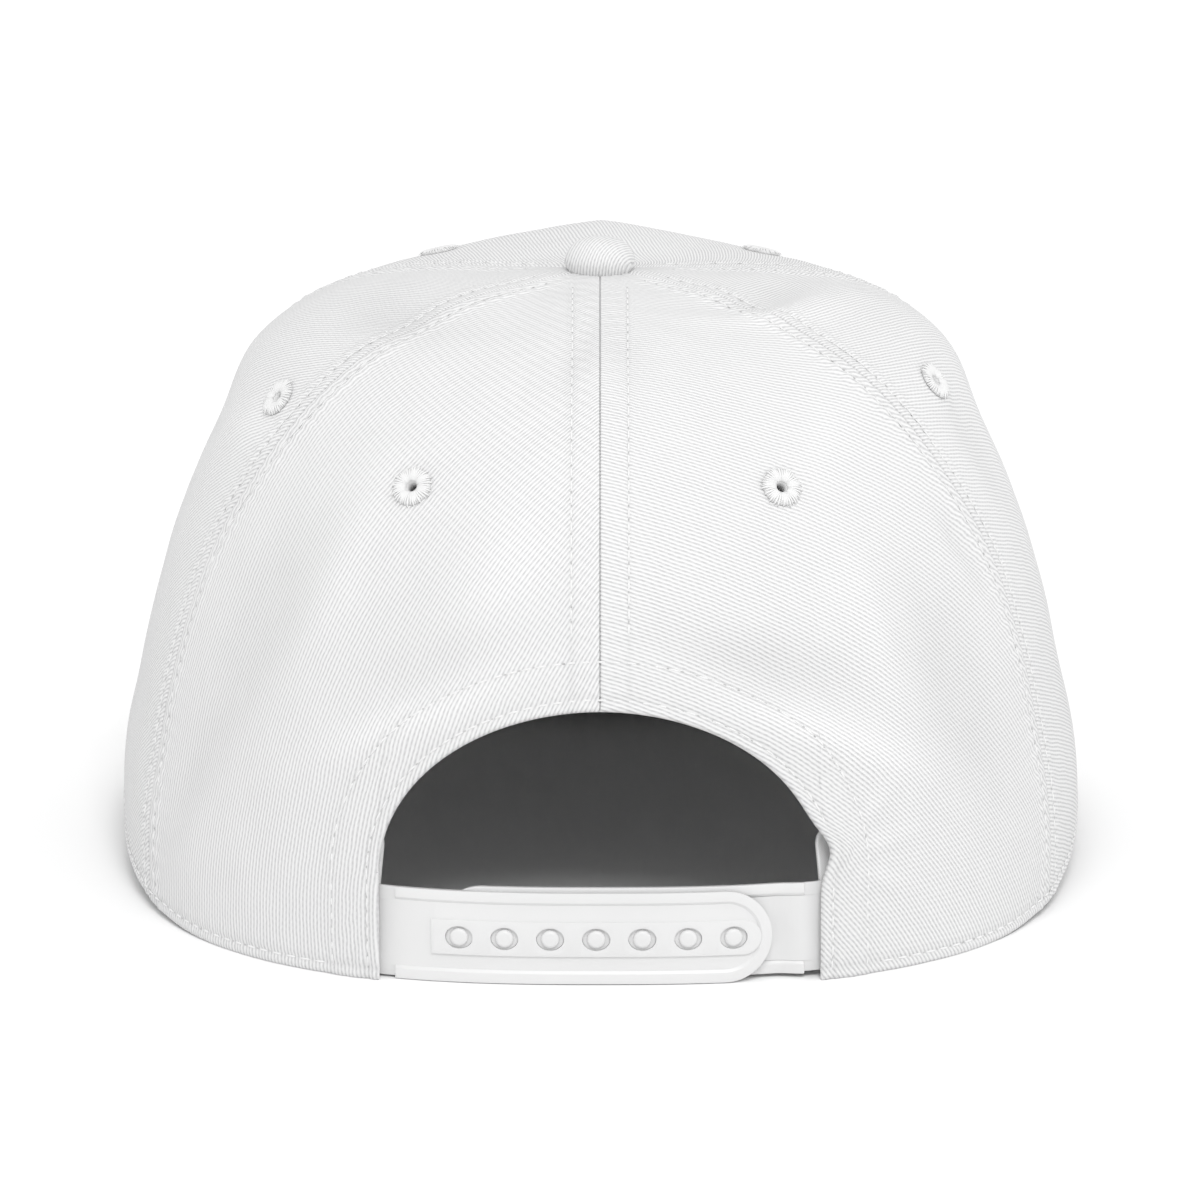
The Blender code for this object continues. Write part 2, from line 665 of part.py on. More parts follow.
def main():
    for thing in list(bpy.data.objects):
        bpy.data.objects.remove(thing)
    cloth = make_material("white_twill", (0.87, 0.87, 0.87), 0.9)
    thread = make_material("white_thread", (0.90, 0.90, 0.90), 0.7)
    ribbon = make_material("sweatband_cloth", (0.82, 0.82, 0.82), 0.9)
    plastic = make_material("white_plastic", (0.86, 0.86, 0.86), 0.45)
    make_panels(cloth)
    make_eyelets(thread)
    make_button(cloth)
    make_peak(cloth)
    make_sweatband(ribbon)
    make_hole_strap(plastic)
    make_peg_strap(plastic)
    pieces = [thing for thing in bpy.data.objects if not thing.hide_render]
    stand_on_origin(pieces)
    for piece in pieces:
        piece.data.shade_smooth()
        piece.data.set_sharp_from_angle(angle=SHARP_EDGE)


main()
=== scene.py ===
import json
import math

import bmesh
import bpy
import numpy as np
from mathutils import Matrix, Vector, noise

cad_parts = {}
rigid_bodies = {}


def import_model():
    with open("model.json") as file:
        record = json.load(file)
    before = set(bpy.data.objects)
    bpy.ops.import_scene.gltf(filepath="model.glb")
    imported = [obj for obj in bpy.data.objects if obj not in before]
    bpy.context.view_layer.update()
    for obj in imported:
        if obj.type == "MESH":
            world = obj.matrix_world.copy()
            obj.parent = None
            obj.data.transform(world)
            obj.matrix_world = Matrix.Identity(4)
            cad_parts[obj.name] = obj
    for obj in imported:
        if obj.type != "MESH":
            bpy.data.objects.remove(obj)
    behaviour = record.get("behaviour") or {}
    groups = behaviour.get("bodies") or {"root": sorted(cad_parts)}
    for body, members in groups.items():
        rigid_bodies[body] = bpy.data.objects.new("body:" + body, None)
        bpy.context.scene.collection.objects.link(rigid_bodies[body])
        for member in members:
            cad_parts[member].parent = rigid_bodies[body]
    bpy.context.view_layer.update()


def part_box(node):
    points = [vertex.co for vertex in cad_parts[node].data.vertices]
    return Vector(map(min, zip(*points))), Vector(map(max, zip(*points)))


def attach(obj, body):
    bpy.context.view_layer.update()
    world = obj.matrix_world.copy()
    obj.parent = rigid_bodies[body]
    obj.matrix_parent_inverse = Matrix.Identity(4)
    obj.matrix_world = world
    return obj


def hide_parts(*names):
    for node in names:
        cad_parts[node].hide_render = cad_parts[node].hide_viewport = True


for thing in list(bpy.data.objects):
    bpy.data.objects.remove(thing)
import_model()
mm = 0.001


# The crown is one smooth surface. An angle round it (0 at the back, positive to the wearer's left)
# and a level (0 at the rim, 1 at the button) give each point. Its driving sizes come from the frame.
def boxMiddle(node):
    low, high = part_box(node)
    return (low + high) / 2


axisY = boxMiddle("top_button").y
crown = {
    "halfWidth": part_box("side_panel_left")[1].x,
    "backReach": 90 * mm,
    "frontReach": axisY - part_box("front_panel")[0].y,
    "height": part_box("back_panel_left")[1].z,
    "widestForward": 16 * mm,
    "sideRimLift": 8 * mm,
    "frontRimLift": 12.5 * mm,
    "flatRimTurn": 0.64,
    "sideLiftPower": 2.2,
    "frontLiftPower": 3,
    "liftFadesAt": 0.45,
    "frontRidge": 1.15,
    "wall": 1.6 * mm,
    "edgeRound": 0.75 * mm,
    "rimRound": 1.4 * mm,
    "middleRound": 0.4 * mm,      # the middle seam is pressed flat
    "topRise": 0.8 * mm,          # the cloth bunches up under the button
}
# shares of the height at back, side and front, shares of the reach at back, side and front,
# squareness of the ring, and angles of the seams behind and before the side panel
crownRings = np.array([
    (0.000, 0.000, 0.000, 1.000, 1.000, 1.000, 2.60, 55, 112),  # rim
    (0.140, 0.130, 0.150, 0.992, 0.994, 0.995, 2.50, 57, 112),  # hem
    (0.290, 0.270, 0.310, 0.958, 0.962, 0.985, 2.40, 59, 112),  # low
    (0.450, 0.420, 0.480, 0.895, 0.925, 0.970, 2.30, 60, 112),  # middle
    (0.610, 0.580, 0.650, 0.812, 0.870, 0.945, 2.20, 60, 111),  # high
    (0.750, 0.735, 0.810, 0.702, 0.793, 0.900, 2.15, 56, 110),  # shoulder
    (0.860, 0.865, 0.950, 0.565, 0.715, 0.790, 2.00, 52, 108),  # upper
    (0.935, 0.950, 1.010, 0.398, 0.568, 0.600, 1.85, 51, 105),  # dome
    (0.980, 0.990, 1.018, 0.220, 0.342, 0.350, 1.90, 52, 104),  # top
    (1.000, 1.000, 1.000, 0.060, 0.060, 0.060, 2.00, 54, 106),  # button
])
opening = {"halfWidth": 41 * mm, "sideHeight": 20 * mm, "archHeight": 30.5 * mm}


def ringAt(level):
    last = len(crownRings) - 1
    place = np.clip(level, 0, 1) * last
    row = np.minimum(place.astype(int), last - 1)
    share = (place - row)[..., None]
    start, end = crownRings[row], crownRings[row + 1]
    first, final = (row == 0)[..., None], (row == last - 1)[..., None]
    before = np.where(first, 2 * start - end, crownRings[np.maximum(row - 1, 0)])
    after = np.where(final, 2 * end - start, crownRings[np.minimum(row + 2, last)])
    bend = 2 * before - 5 * start + 4 * end - after
    twist = 3 * start - before - 3 * end + after
    return (2 * start + (end - before) * share + bend * share ** 2 + twist * share ** 3) / 2


def rimLift(angle):
    side = np.maximum(np.abs(np.sin(angle)) - crown["flatRimTurn"], 0) / (1 - crown["flatRimTurn"])
    front = np.maximum(-np.cos(angle), 0)
    sideLift = crown["sideRimLift"] * side ** crown["sideLiftPower"]
    return sideLift + crown["frontRimLift"] * front ** crown["frontLiftPower"]


def crownPoint(angle, level):
    angle, level = np.broadcast_arrays(np.asarray(angle, float), np.asarray(level, float))
    ring = ringAt(level)
    highBack, highSide, highFront, back, side, front, power = (ring[..., i] for i in range(7))
    across, along = np.sin(angle), np.cos(angle)
    behind = along >= 0
    middle = -crown["widestForward"] * side
    halfWidth = crown["halfWidth"] * side
    reach = np.where(behind, crown["backReach"] * back - middle, crown["frontReach"] * front + middle)
    endHigh = np.where(behind, highBack, highFront)
    sideShare = np.where(behind, across ** 2, np.abs(across) ** crown["frontRidge"])
    radius = (np.abs(across / halfWidth) ** power + np.abs(along / reach) ** power) ** (-1 / power)
    height = crown["height"] * (endHigh + (highSide - endHigh) * sideShare)
    height = height + rimLift(angle) * np.maximum(1 - level / crown["liftFadesAt"], 0)
    return np.stack([radius * across, axisY + middle + radius * along, height], -1)


def crownOut(angle, level):  # unit normal of the crown's outer face
    step = 0.004
    low, high = np.maximum(level - step, 0), np.minimum(level + step, 1)
    around = crownPoint(angle + step, level) - crownPoint(angle - step, level)
    upward = crownPoint(angle, high) - crownPoint(angle, low)
    out = np.cross(upward, around)
    return out / np.linalg.norm(out, axis=-1, keepdims=True)


def crownInside(angle, level, depth):  # a point under the outer face; the rim is cut level
    angle, level, depth = np.broadcast_arrays(angle, level, depth)
    out = crownOut(angle, level)
    point = crownPoint(angle, level) - out * depth[..., None]
    nearRim = np.clip(1 - level / 0.02, 0, 1)
    point[..., 2] += out[..., 2] * depth * nearRim
    return point


def seamAngles(level):
    ring = ringAt(np.asarray(level, float))
    return np.radians(ring[..., 7]), np.radians(ring[..., 8])


def solve(low, high, isBelow):  # values at which isBelow turns from true to false
    low, high = np.array(low, float), np.array(high, float)
    for _ in range(34):
        middle = (low + high) / 2
        below = isBelow(middle)
        low = np.where(below, middle, low)
        high = np.where(below, high, middle)
    return (low + high) / 2


def angleAtX(x, level, depth=0.0):
    x, level, depth = (np.asarray(value, float) for value in (x, level, depth))
    shape = np.broadcast(x, level, depth).shape
    start = np.full(shape, -math.pi / 2)
    return solve(start, -start, lambda angle: crownInside(angle, level, depth)[..., 0] < x)


def levelAtHeight(angle, height):
    base = crownPoint(angle, 0.0)[..., 2]
    start = np.zeros(np.broadcast(angle, height).shape)
    return solve(start, start + 1, lambda level: crownPoint(angle, level)[..., 2] - base < height)


def backPlace(x, z):  # angle and level of the point of the back wall with this x and z
    level = np.zeros(np.broadcast(x, z).shape)
    for _ in range(6):
        angle = angleAtX(x, level)
        level = levelAtHeight(angle, z - crownPoint(angle, 0.0)[..., 2])
    return angle, level


# lengths along the crown, measured once on a net of its angles and levels
netAngles = np.radians(np.arange(-180, 301))
netLevels = np.linspace(0, 1, 101)
netPoints = crownPoint(netAngles[:, None], netLevels[None, :])
stepUp = np.linalg.norm(np.diff(netPoints, axis=1), axis=-1)
stepAround = np.linalg.norm(np.diff(netPoints, axis=0), axis=-1)
netUp = np.concatenate([np.zeros((len(netAngles), 1)), np.cumsum(stepUp, axis=1)], axis=1)
netAround = np.concatenate([np.zeros((1, len(netLevels))), np.cumsum(stepAround, axis=0)], axis=0)
netAround = netAround - netAround[180]


def readNet(net, angle, level):
    place = np.clip((angle - netAngles[0]) / (netAngles[1] - netAngles[0]), 0, len(netAngles) - 1.001)
    height = np.clip(level * (len(netLevels) - 1), 0, len(netLevels) - 1.001)
    i, j = place.astype(int), height.astype(int)
    u, v = place - i, height - j
    lower = net[i, j] * (1 - u) + net[i + 1, j] * u
    upper = net[i, j + 1] * (1 - u) + net[i + 1, j + 1] * u
    return lower * (1 - v) + upper * v


def backToFront(angle):  # the same angle from -180 to 180 degrees
    return (angle + math.pi) % (2 * math.pi) - math.pi


def ringRadius(angle, level):
    point = crownPoint(angle, level)
    middle = axisY - crown["widestForward"] * ringAt(np.asarray(level, float))[..., 4]
    return np.hypot(point[..., 0], point[..., 1] - middle)


def openingDistance(point):  # from the opening's edge into the cloth, large on the front half
    across = np.abs(point[..., 0]) / opening["halfWidth"]
    rise = np.maximum(point[..., 2] - opening["sideHeight"], 0) / opening["archHeight"]
    away = np.sqrt(across ** 2 + rise ** 2) + 1e-9
    slope = np.hypot(across / opening["halfWidth"], rise / opening["archHeight"]) / away
    distance = (away - 1) / np.maximum(slope, 1e-9)
    return np.where(point[..., 1] > axisY, distance, 1.0)


def softStep(value, start, end):
    share = np.clip((value - start) / (end - start), 0, 1)
    return share * share * (3 - 2 * share)


def hump(value, middle, width):
    return np.exp(-((value - middle) / width) ** 2)


def lengthAlong(points):  # length from the first point to each
    return np.concatenate([[0], np.cumsum(np.linalg.norm(np.diff(points, axis=0), axis=1))])


def roughness3d(points, size, seed):  # smooth noise from -1 to 1
    flat = points.reshape(-1, 3) / size + seed
    return np.array([noise.noise(Vector(row)) for row in flat]).reshape(points.shape[:-1])


print("crown worked out")

# relief of the cloth over the plain crown
seamRelief = {
    "allowance": 0.30 * mm,       # the cloth is doubled this much beside a seam
    "allowanceWidth": 6.6 * mm,
    "otherAllowance": 0.21 * mm,
    "otherAllowanceWidth": 5 * mm,
    "rowDistance": 5.3 * mm,      # stitch rows beside the middle seam
    "sideRowDistance": 2.6 * mm,  # and beside the others
    "groove": 0.24 * mm,
    "grooveWidth": 0.55 * mm,
    "pucker": 0.24 * mm,
    "puckerPitch": 3.1 * mm,
    "middlePucker": (2.8 * mm, 2.2 * mm, 0.8),   # distance from the seam, width and strength
    "otherPucker": (3.4 * mm, 3.2 * mm, 1.25),
    "notch": 0.06 * mm,           # the middle seam is pinched at each of its hidden stitches
    "notchWidth": 0.8 * mm,
    "notchPitch": 2.3 * mm,
}
hemRelief = {
    "rise": 0.40 * mm,
    "width": 9.9 * mm,
    "rows": (2.0 * mm, 8.6 * mm),
    "groove": 0.30 * mm,
    "grooveWidth": 0.55 * mm,
    "pucker": 0.15 * mm,
    "puckerPitch": 3.3 * mm,
    "puckerAt": 5 * mm,
    "puckerWidth": 2.6 * mm,
}
rimRelief = {"row": 2.2 * mm, "groove": 0.32 * mm, "grooveWidth": 0.6 * mm, "pucker": 0.12 * mm,
             "puckerPitch": 3 * mm, "puckerAt": 3.2 * mm, "puckerWidth": 2.4 * mm}
unevenness = [(0.30 * mm, 26 * mm, 1.0), (0.12 * mm, 9 * mm, 4.0)]  # height, size and seed of its swells
# the cloth lies flat round an eyelet, a little sunk, and puckers at the eyelet's rim
eyeletRelief = {"cutOut": 1.7 * mm, "flatTo": 4.2 * mm, "freeFrom": 7.5 * mm, "sunk": 0.12 * mm,
                "pucker": 0.07 * mm, "puckers": 11, "puckerAt": 5.2 * mm, "puckerWidth": 1.3 * mm}
# soft folds: angle, level, half length and half width in mm, turn in degrees from level, height in mm
softFolds = [
    (18, 0.370, 17, 6.5, 24, -1.0),     # dent over the arch's left shoulder
    (22, 0.300, 17, 4.5, 26, 1.8),      # and the ridge under it
    (-19, 0.360, 17, 6.0, -14, -1.7),   # the same over the right shoulder
    (-25, 0.285, 19, 4.5, -25, 2.3),
    (12, 0.460, 18, 8.0, 80, 1.1),      # soft ridge of the left back panel
    (24, 0.430, 15, 7.0, 75, -0.6),
    (45, 0.390, 24, 12.0, 78, -2.0),    # dent of the left back panel, by its seam
    (34, 0.470, 20, 5.0, 82, 0.7),
    (-45, 0.320, 24, 12.0, -80, -1.9),  # dent of the right back panel, by its seam
    (-33, 0.400, 18, 5.0, -82, 0.8),
    (-54, 0.460, 11, 3.5, -68, -1.0),
    (5, 0.785, 10, 3.2, 83, -0.8),      # beside the middle seam, near the button
    (-5, 0.785, 10, 3.2, -83, -0.8),
    (62, 0.800, 18, 7.0, 18, -1.8),     # left shoulder
    (66, 0.580, 12, 5.0, 20, 0.9),      # under the left side eyelet
    (-68, 0.860, 17, 5.0, -15, -1.4),   # right shoulder
    (-60, 0.815, 20, 4.0, -27, 1.0),
    (-72, 0.560, 14, 7.0, -70, -1.2),
    (50, 0.190, 16, 6.0, 70, -0.9),     # low on the left
    (-29, 0.205, 5, 1.7, 42, 0.5),      # small folds that fan out from the opening's right corner
    (-30, 0.165, 6, 1.7, 8, 0.5),
    (-29, 0.120, 5, 1.7, -28, 0.45),
    (-36, 0.600, 14, 5.0, 40, 0.6),
    (100, 0.450, 22, 7.0, 60, -1.2),
    (-100, 0.450, 22, 7.0, -60, -1.2),
    (150, 0.560, 20, 9.0, 20, -1.0),
    (-158, 0.700, 20, 9.0, -30, -1.0),
    (-130, 0.400, 20, 8.0, 70, 1.0),
    (128, 0.300, 20, 8.0, -70, 1.0),
]
# painted shade and light: shares by which the cloth's colour is darkened in dents and lightened on ridges,
# darkened towards the rim, along the rows of stitches and beside the side seams
paintedShadeShares = {"folds": 0.06, "fullFold": 1.6 * mm, "low": 0.06, "lowEnds": (15 * mm, 95 * mm),
              "rows": 0.045, "rowWidth": 0.5 * mm, "seam": 0.025, "seamEnds": (2.2 * mm, 2.8 * mm)}
# the cloth's edge is pulled back here, on the opening's right side, and shows the sweatband's end
clothLip = {"height": 24.5 * mm, "up": 4.0 * mm, "back": 2.0 * mm, "reach": 9 * mm,
            "rise": 0.9 * mm, "riseAt": 2 * mm, "riseWidth": 2.5 * mm, "riseUp": 6.4 * mm}
eyelets = {  # angle in degrees, level
    "back_left": (27, 0.557),
    "back_right": (-26, 0.557),
    "side_left": (61, 0.633),
    "side_right": (-68, 0.645),
    "front_left": (131, 0.800),
    "front_right": (-131, 0.800),
}


def seamGaps(angle, level):  # lengths to the middle seam and to the nearer of the others
    turn = np.abs(backToFront(angle))
    rear, fore = seamAngles(level)
    radius = ringRadius(angle, level)
    middleGap = np.where(turn < math.pi / 2, turn * radius, 1.0)
    otherGap = np.minimum(np.abs(turn - rear), np.abs(turn - fore)) * radius
    return middleGap, otherGap


def backRight(point):  # the wearer's right half of the back
    return (point[..., 0] < 0) & (point[..., 1] > axisY)


def foldRise(angle, level):
    turn = backToFront(angle)
    radius = ringRadius(angle, level)
    up = readNet(netUp, turn, level)
    rise = np.zeros(np.shape(turn))
    for foldAngle, foldLevel, length, width, lean, height in softFolds:
        foldTurn = np.full((), math.radians(foldAngle))
        across = -backToFront(turn - foldTurn) * radius
        above = up - readNet(netUp, foldTurn, np.full((), foldLevel))
        lean = math.radians(lean)
        along = across * math.cos(lean) + above * math.sin(lean)
        beside = above * math.cos(lean) - across * math.sin(lean)
        rise = rise + height * mm * hump(along, 0, length * mm) * hump(beside, 0, width * mm)
    return rise


def clothRise(angle, level):  # height of the cloth over the plain crown
    point = crownPoint(angle, level)
    turn = backToFront(angle)
    up = readNet(netUp, turn, level)
    middleGap, otherGap = seamGaps(angle, level)
    openGap = openingDistance(point)
    nearTop = softStep(level, 0.93, 0.99)
    seam = seamRelief
    rise = np.zeros(np.shape(up))
    width, otherWidth = seam["allowanceWidth"], seam["otherAllowanceWidth"]
    rise += seam["allowance"] * (1 - softStep(middleGap, width - mm, width))
    rise += seam["otherAllowance"] * (1 - softStep(otherGap, otherWidth - mm, otherWidth))
    rise -= seam["groove"] * hump(middleGap, seam["rowDistance"], seam["grooveWidth"])
    rise -= seam["groove"] * hump(otherGap, seam["sideRowDistance"], seam["grooveWidth"])
    wave = np.cos(2 * math.pi * up / seam["puckerPitch"] + 3 * roughness3d(point, 14 * mm, 5.0))
    strength = 0.55 + 0.45 * roughness3d(point, 22 * mm, 9.0)
    pucker = np.zeros(np.shape(up))
    for gap, (away, width, share) in ((middleGap, seam["middlePucker"]), (otherGap, seam["otherPucker"])):
        pucker += hump(gap, away, width) * share
    rise += seam["pucker"] * wave * strength * pucker * (1 - nearTop)
    hem = hemRelief
    rise += hem["rise"] * (1 - softStep(openGap, hem["width"] - mm, hem["width"]))
    for row in hem["rows"]:
        rise -= hem["groove"] * hump(openGap, row, hem["grooveWidth"])
    slant = point[..., 0] + point[..., 2] * 0.6 + 1.2 * mm * roughness3d(point, 12 * mm, 7.0)
    hemWave = np.cos(2 * math.pi * slant / hem["puckerPitch"])
    rise += hem["pucker"] * hemWave * hump(openGap, hem["puckerAt"], hem["puckerWidth"])
    notch = 0.5 + 0.5 * np.cos(2 * math.pi * up / seam["notchPitch"])
    rise -= seam["notch"] * notch * hump(middleGap, 0, seam["notchWidth"]) * (1 - nearTop)
    rim = rimRelief
    aroundLength = readNet(netAround, angle, np.zeros(np.shape(angle)))
    rise -= rim["groove"] * hump(up, rim["row"], rim["grooveWidth"])
    rimWave = np.cos(2 * math.pi * aroundLength / rim["puckerPitch"] + 2 * roughness3d(point, 20 * mm, 2.0))
    rise += rim["pucker"] * rimWave * hump(up, rim["puckerAt"], rim["puckerWidth"])
    rise += foldRise(angle, level)
    for height, size, seed in unevenness:
        rise += height * roughness3d(point, size, seed)
    lip = clothLip
    lipRise = lip["rise"] * hump(openGap, lip["riseAt"], lip["riseWidth"])
    lipRise *= hump(point[..., 2], lip["height"], lip["riseUp"])
    rise += np.where(backRight(point), lipRise, 0)
    for eyeletAngle, eyeletLevel in eyelets.values():
        middle = crownPoint(math.radians(eyeletAngle), eyeletLevel)
        away = np.linalg.norm(point - middle, axis=-1)
        ring = eyeletRelief
        flat = 1 - softStep(away, ring["flatTo"], ring["freeFrom"])
        around = np.arctan2(point[..., 2] - middle[2], point[..., 0] - middle[0])
        rise = rise * (1 - flat) - ring["sunk"] * flat
        pucker = ring["pucker"] * np.cos(ring["puckers"] * around)
        rise += pucker * hump(away, ring["puckerAt"], ring["puckerWidth"])
    return rise * (1 - 0.8 * nearTop) + crown["topRise"] * nearTop


def paintedClothShade(angle, level):  # painted shade and light: how much lighter or darker the cloth's colour is painted there
    paintedShade = paintedShadeShares
    point = crownPoint(angle, level)
    up = readNet(netUp, backToFront(angle), level)
    middleGap, otherGap = seamGaps(angle, level)
    openGap = openingDistance(point)
    # painted shade in the dents of the soft folds and painted light on their ridges
    shade = paintedShade["folds"] * np.clip(foldRise(angle, level) / paintedShade["fullFold"], -1, 1)
    # painted shade, darker towards the rim
    shade -= paintedShade["low"] * (1 - softStep(point[..., 2], *paintedShade["lowEnds"]))
    # painted shade along the rows of stitches and beside the side seams
    width = paintedShade["rowWidth"]
    rows = hump(middleGap, seamRelief["rowDistance"], width) + hump(up, rimRelief["row"], width)
    rows += hump(otherGap, seamRelief["sideRowDistance"], width)
    for row in hemRelief["rows"]:
        rows += hump(openGap, row, width)
    belowTop = 1 - softStep(level, 0.90, 0.97)
    shade -= paintedShade["rows"] * np.minimum(rows, 1) * belowTop
    shade -= paintedShade["seam"] * (1 - softStep(otherGap, *paintedShade["seamEnds"])) * belowTop
    return 1 + shade


# small helpers for modelling
def deselectAll():
    if bpy.context.object and bpy.context.object.mode != "OBJECT":
        bpy.ops.object.mode_set(mode="OBJECT")
    bpy.ops.object.select_all(action="DESELECT")


def makeActive(thing):
    deselectAll()
    thing.select_set(True)
    bpy.context.view_layer.objects.active = thing


def applyModifier(thing, kind, settings):
    makeActive(thing)
    step = thing.modifiers.new("step", kind)
    for key, value in settings.items():
        setattr(step, key, value)
    bpy.ops.object.modifier_apply(modifier=step.name)


def readPoints(mesh):
    flat = np.empty(len(mesh.vertices) * 3, np.float32)
    mesh.vertices.foreach_get("co", flat)
    return flat.reshape(-1, 3).astype(float)


def writePoints(mesh, points):
    mesh.vertices.foreach_set("co", np.asarray(points, np.float32).ravel())
    mesh.update()


def writeCloth(mesh, places):  # the piece's own flat cloth, in metres, as its UV map
    layer = mesh.uv_layers[0] if mesh.uv_layers else mesh.uv_layers.new(name="cloth")
    layer.name = "cloth"
    corners = np.empty(len(mesh.loops), np.int32)
    mesh.loops.foreach_get("vertex_index", corners)
    layer.uv.foreach_set("vector", np.asarray(places, np.float32)[corners].ravel())


# stores the cloth's painted shade and light as a point attribute
def writePaintedShade(mesh, paintedShade):
    layer = mesh.attributes.new(name="paintedShade", type="FLOAT", domain="POINT")
    layer.data.foreach_set("value", np.asarray(paintedShade, np.float32))


def gridShell(name, columns, rows, openCells=None):
    # a flat grid given a wall; returns it with the column and row of each outer point
    deselectAll()
    bpy.ops.mesh.primitive_grid_add(x_subdivisions=columns, y_subdivisions=rows, size=1)
    sheet = bpy.context.object
    sheet.name = name
    sheet.data.name = name
    if openCells is not None:
        bpy.ops.object.mode_set(mode="EDIT")
        bpy.ops.mesh.select_mode(type="FACE")
        bpy.ops.mesh.select_all(action="DESELECT")
        mesh = bmesh.from_edit_mesh(sheet.data)
        for face in mesh.faces:
            place = face.calc_center_median()
            column, row = int((place.x + 0.5) * columns), int((place.y + 0.5) * rows)
            face.select = bool(openCells[column, row])
        bmesh.update_edit_mesh(sheet.data)
        bpy.ops.mesh.delete(type="FACE")
        bpy.ops.object.mode_set(mode="OBJECT")
    flat = readPoints(sheet.data)
    column = np.rint((flat[:, 0] + 0.5) * columns).astype(int)
    row = np.rint((flat[:, 1] + 0.5) * rows).astype(int)
    applyModifier(sheet, "SOLIDIFY", {"thickness": 0.01, "offset": -1})
    return sheet, column, row


def fineEnds(count, closeness):  # shares from 0 to 1, closer together at both ends
    even = np.linspace(0, 1, count + 1)
    return (1 - closeness) * even + closeness * 0.5 * (1 - np.cos(math.pi * even))


def borderSink(gap, reach):  # how far the outer face sinks where the wall's edge is rounded
    share = np.clip(1 - gap / reach, 0, 1)
    return 0.84 * crown["wall"] / 2 * (1 - np.sqrt(1 - share ** 2))


rimSteps = np.array([0, 0.10, 0.30, 0.60, 1.0, 1.5]) * mm
risePerLevel = 0.150  # length of cloth up the crown for a level of 1, near the rim


def panelLevels(bottom, rows):  # levels from a lower edge to the button, closer together at the edge
    bottom = np.asarray(bottom, float)[..., None]
    near = bottom + rimSteps / risePerLevel
    rest = np.linspace(0, 1, rows - len(rimSteps) + 2)[1:]
    far = near[..., -1:] + (1 - near[..., -1:]) * rest
    return np.concatenate([near, far], axis=-1)


panelMesh = {"rows": 176, "rowsBelow": 26, "archColumns": 64, "backColumns": 62, "sideColumns": 112,
             "frontColumns": 190, "seamGap": 0.02 * mm, "closeness": 0.72}


def seamSide(seamAngle, side, level):  # a panel's edge, just beside a seam
    return seamAngle + side * panelMesh["seamGap"] / 2 / ringRadius(seamAngle, level)


def backPanelPlaces():  # columns from the middle seam to the seam behind the side panel
    counts = panelMesh
    springAngle, spring = backPlace(np.array(opening["halfWidth"]), np.array(opening["sideHeight"]))
    springRear = seamAngles(spring)[0]
    nearEdge = seamSide(0.0, 1, spring)
    openShare = (springAngle - nearEdge) / (springRear - nearEdge)

    def sideOfOpening(level):
        near, far = seamSide(0.0, 1, level), seamSide(seamAngles(level)[0], -1, level)
        along = near + (far - near) * openShare
        low = level < spring
        return np.where(low, angleAtX(opening["halfWidth"], np.minimum(level, spring)), along)

    def inside(share, level):
        near = seamSide(0.0, 1, level)
        point = crownPoint(near + (sideOfOpening(level) - near) * share, level)
        rise = (point[..., 2] - opening["sideHeight"]) / opening["archHeight"]
        return (point[..., 0] / opening["halfWidth"]) ** 2 + rise * np.abs(rise) < 1

    even = np.linspace(0, 1, counts["archColumns"] + 1)[:-1]
    share = np.sin(math.pi / 2 * (0.25 * even + 0.75 * even ** 2))
    lowest = np.full(share.shape, float(spring))
    arch = solve(lowest, np.ones(share.shape), lambda level: inside(share, level))
    archLevels = panelLevels(arch, counts["rows"])
    near = seamSide(0.0, 1, archLevels)
    archAngles = near + (sideOfOpening(archLevels) - near) * share[:, None]
    nearRim = rimSteps / risePerLevel
    aboveRim = np.linspace(float(nearRim[-1]), float(spring), counts["rowsBelow"] - len(rimSteps) + 2)
    below = np.concatenate([nearRim, aboveRim[1:]])
    sideShare = fineEnds(counts["backColumns"], counts["closeness"])[:, None]
    upperLevels = panelLevels(spring, counts["rows"])
    sideLevels = np.concatenate([below[:-1], upperLevels])[None, :] + 0 * sideShare
    start = sideOfOpening(sideLevels)
    end = seamSide(seamAngles(sideLevels)[0], -1, sideLevels)
    sideAngles = start + (end - start) * sideShare
    rowCount = sideLevels.shape[1]
    angles = np.zeros((len(share) + len(sideShare), rowCount))
    levels = np.zeros(angles.shape)
    lowRows = rowCount - archLevels.shape[1]
    angles[:len(share), lowRows:], levels[:len(share), lowRows:] = archAngles, archLevels
    angles[len(share):], levels[len(share):] = sideAngles, sideLevels
    openCells = np.zeros((angles.shape[0] - 1, rowCount - 1), bool)
    openCells[:len(share), :lowRows] = True
    return angles, levels, openCells


def plainPanelPlaces(nearEdge, farEdge, columns):
    levels = panelLevels(0.0, panelMesh["rows"] + panelMesh["rowsBelow"])[None, :]
    share = fineEnds(columns, panelMesh["closeness"])[:, None]
    levels = levels + 0 * share
    return nearEdge(levels) + (farEdge(levels) - nearEdge(levels)) * share, levels, None


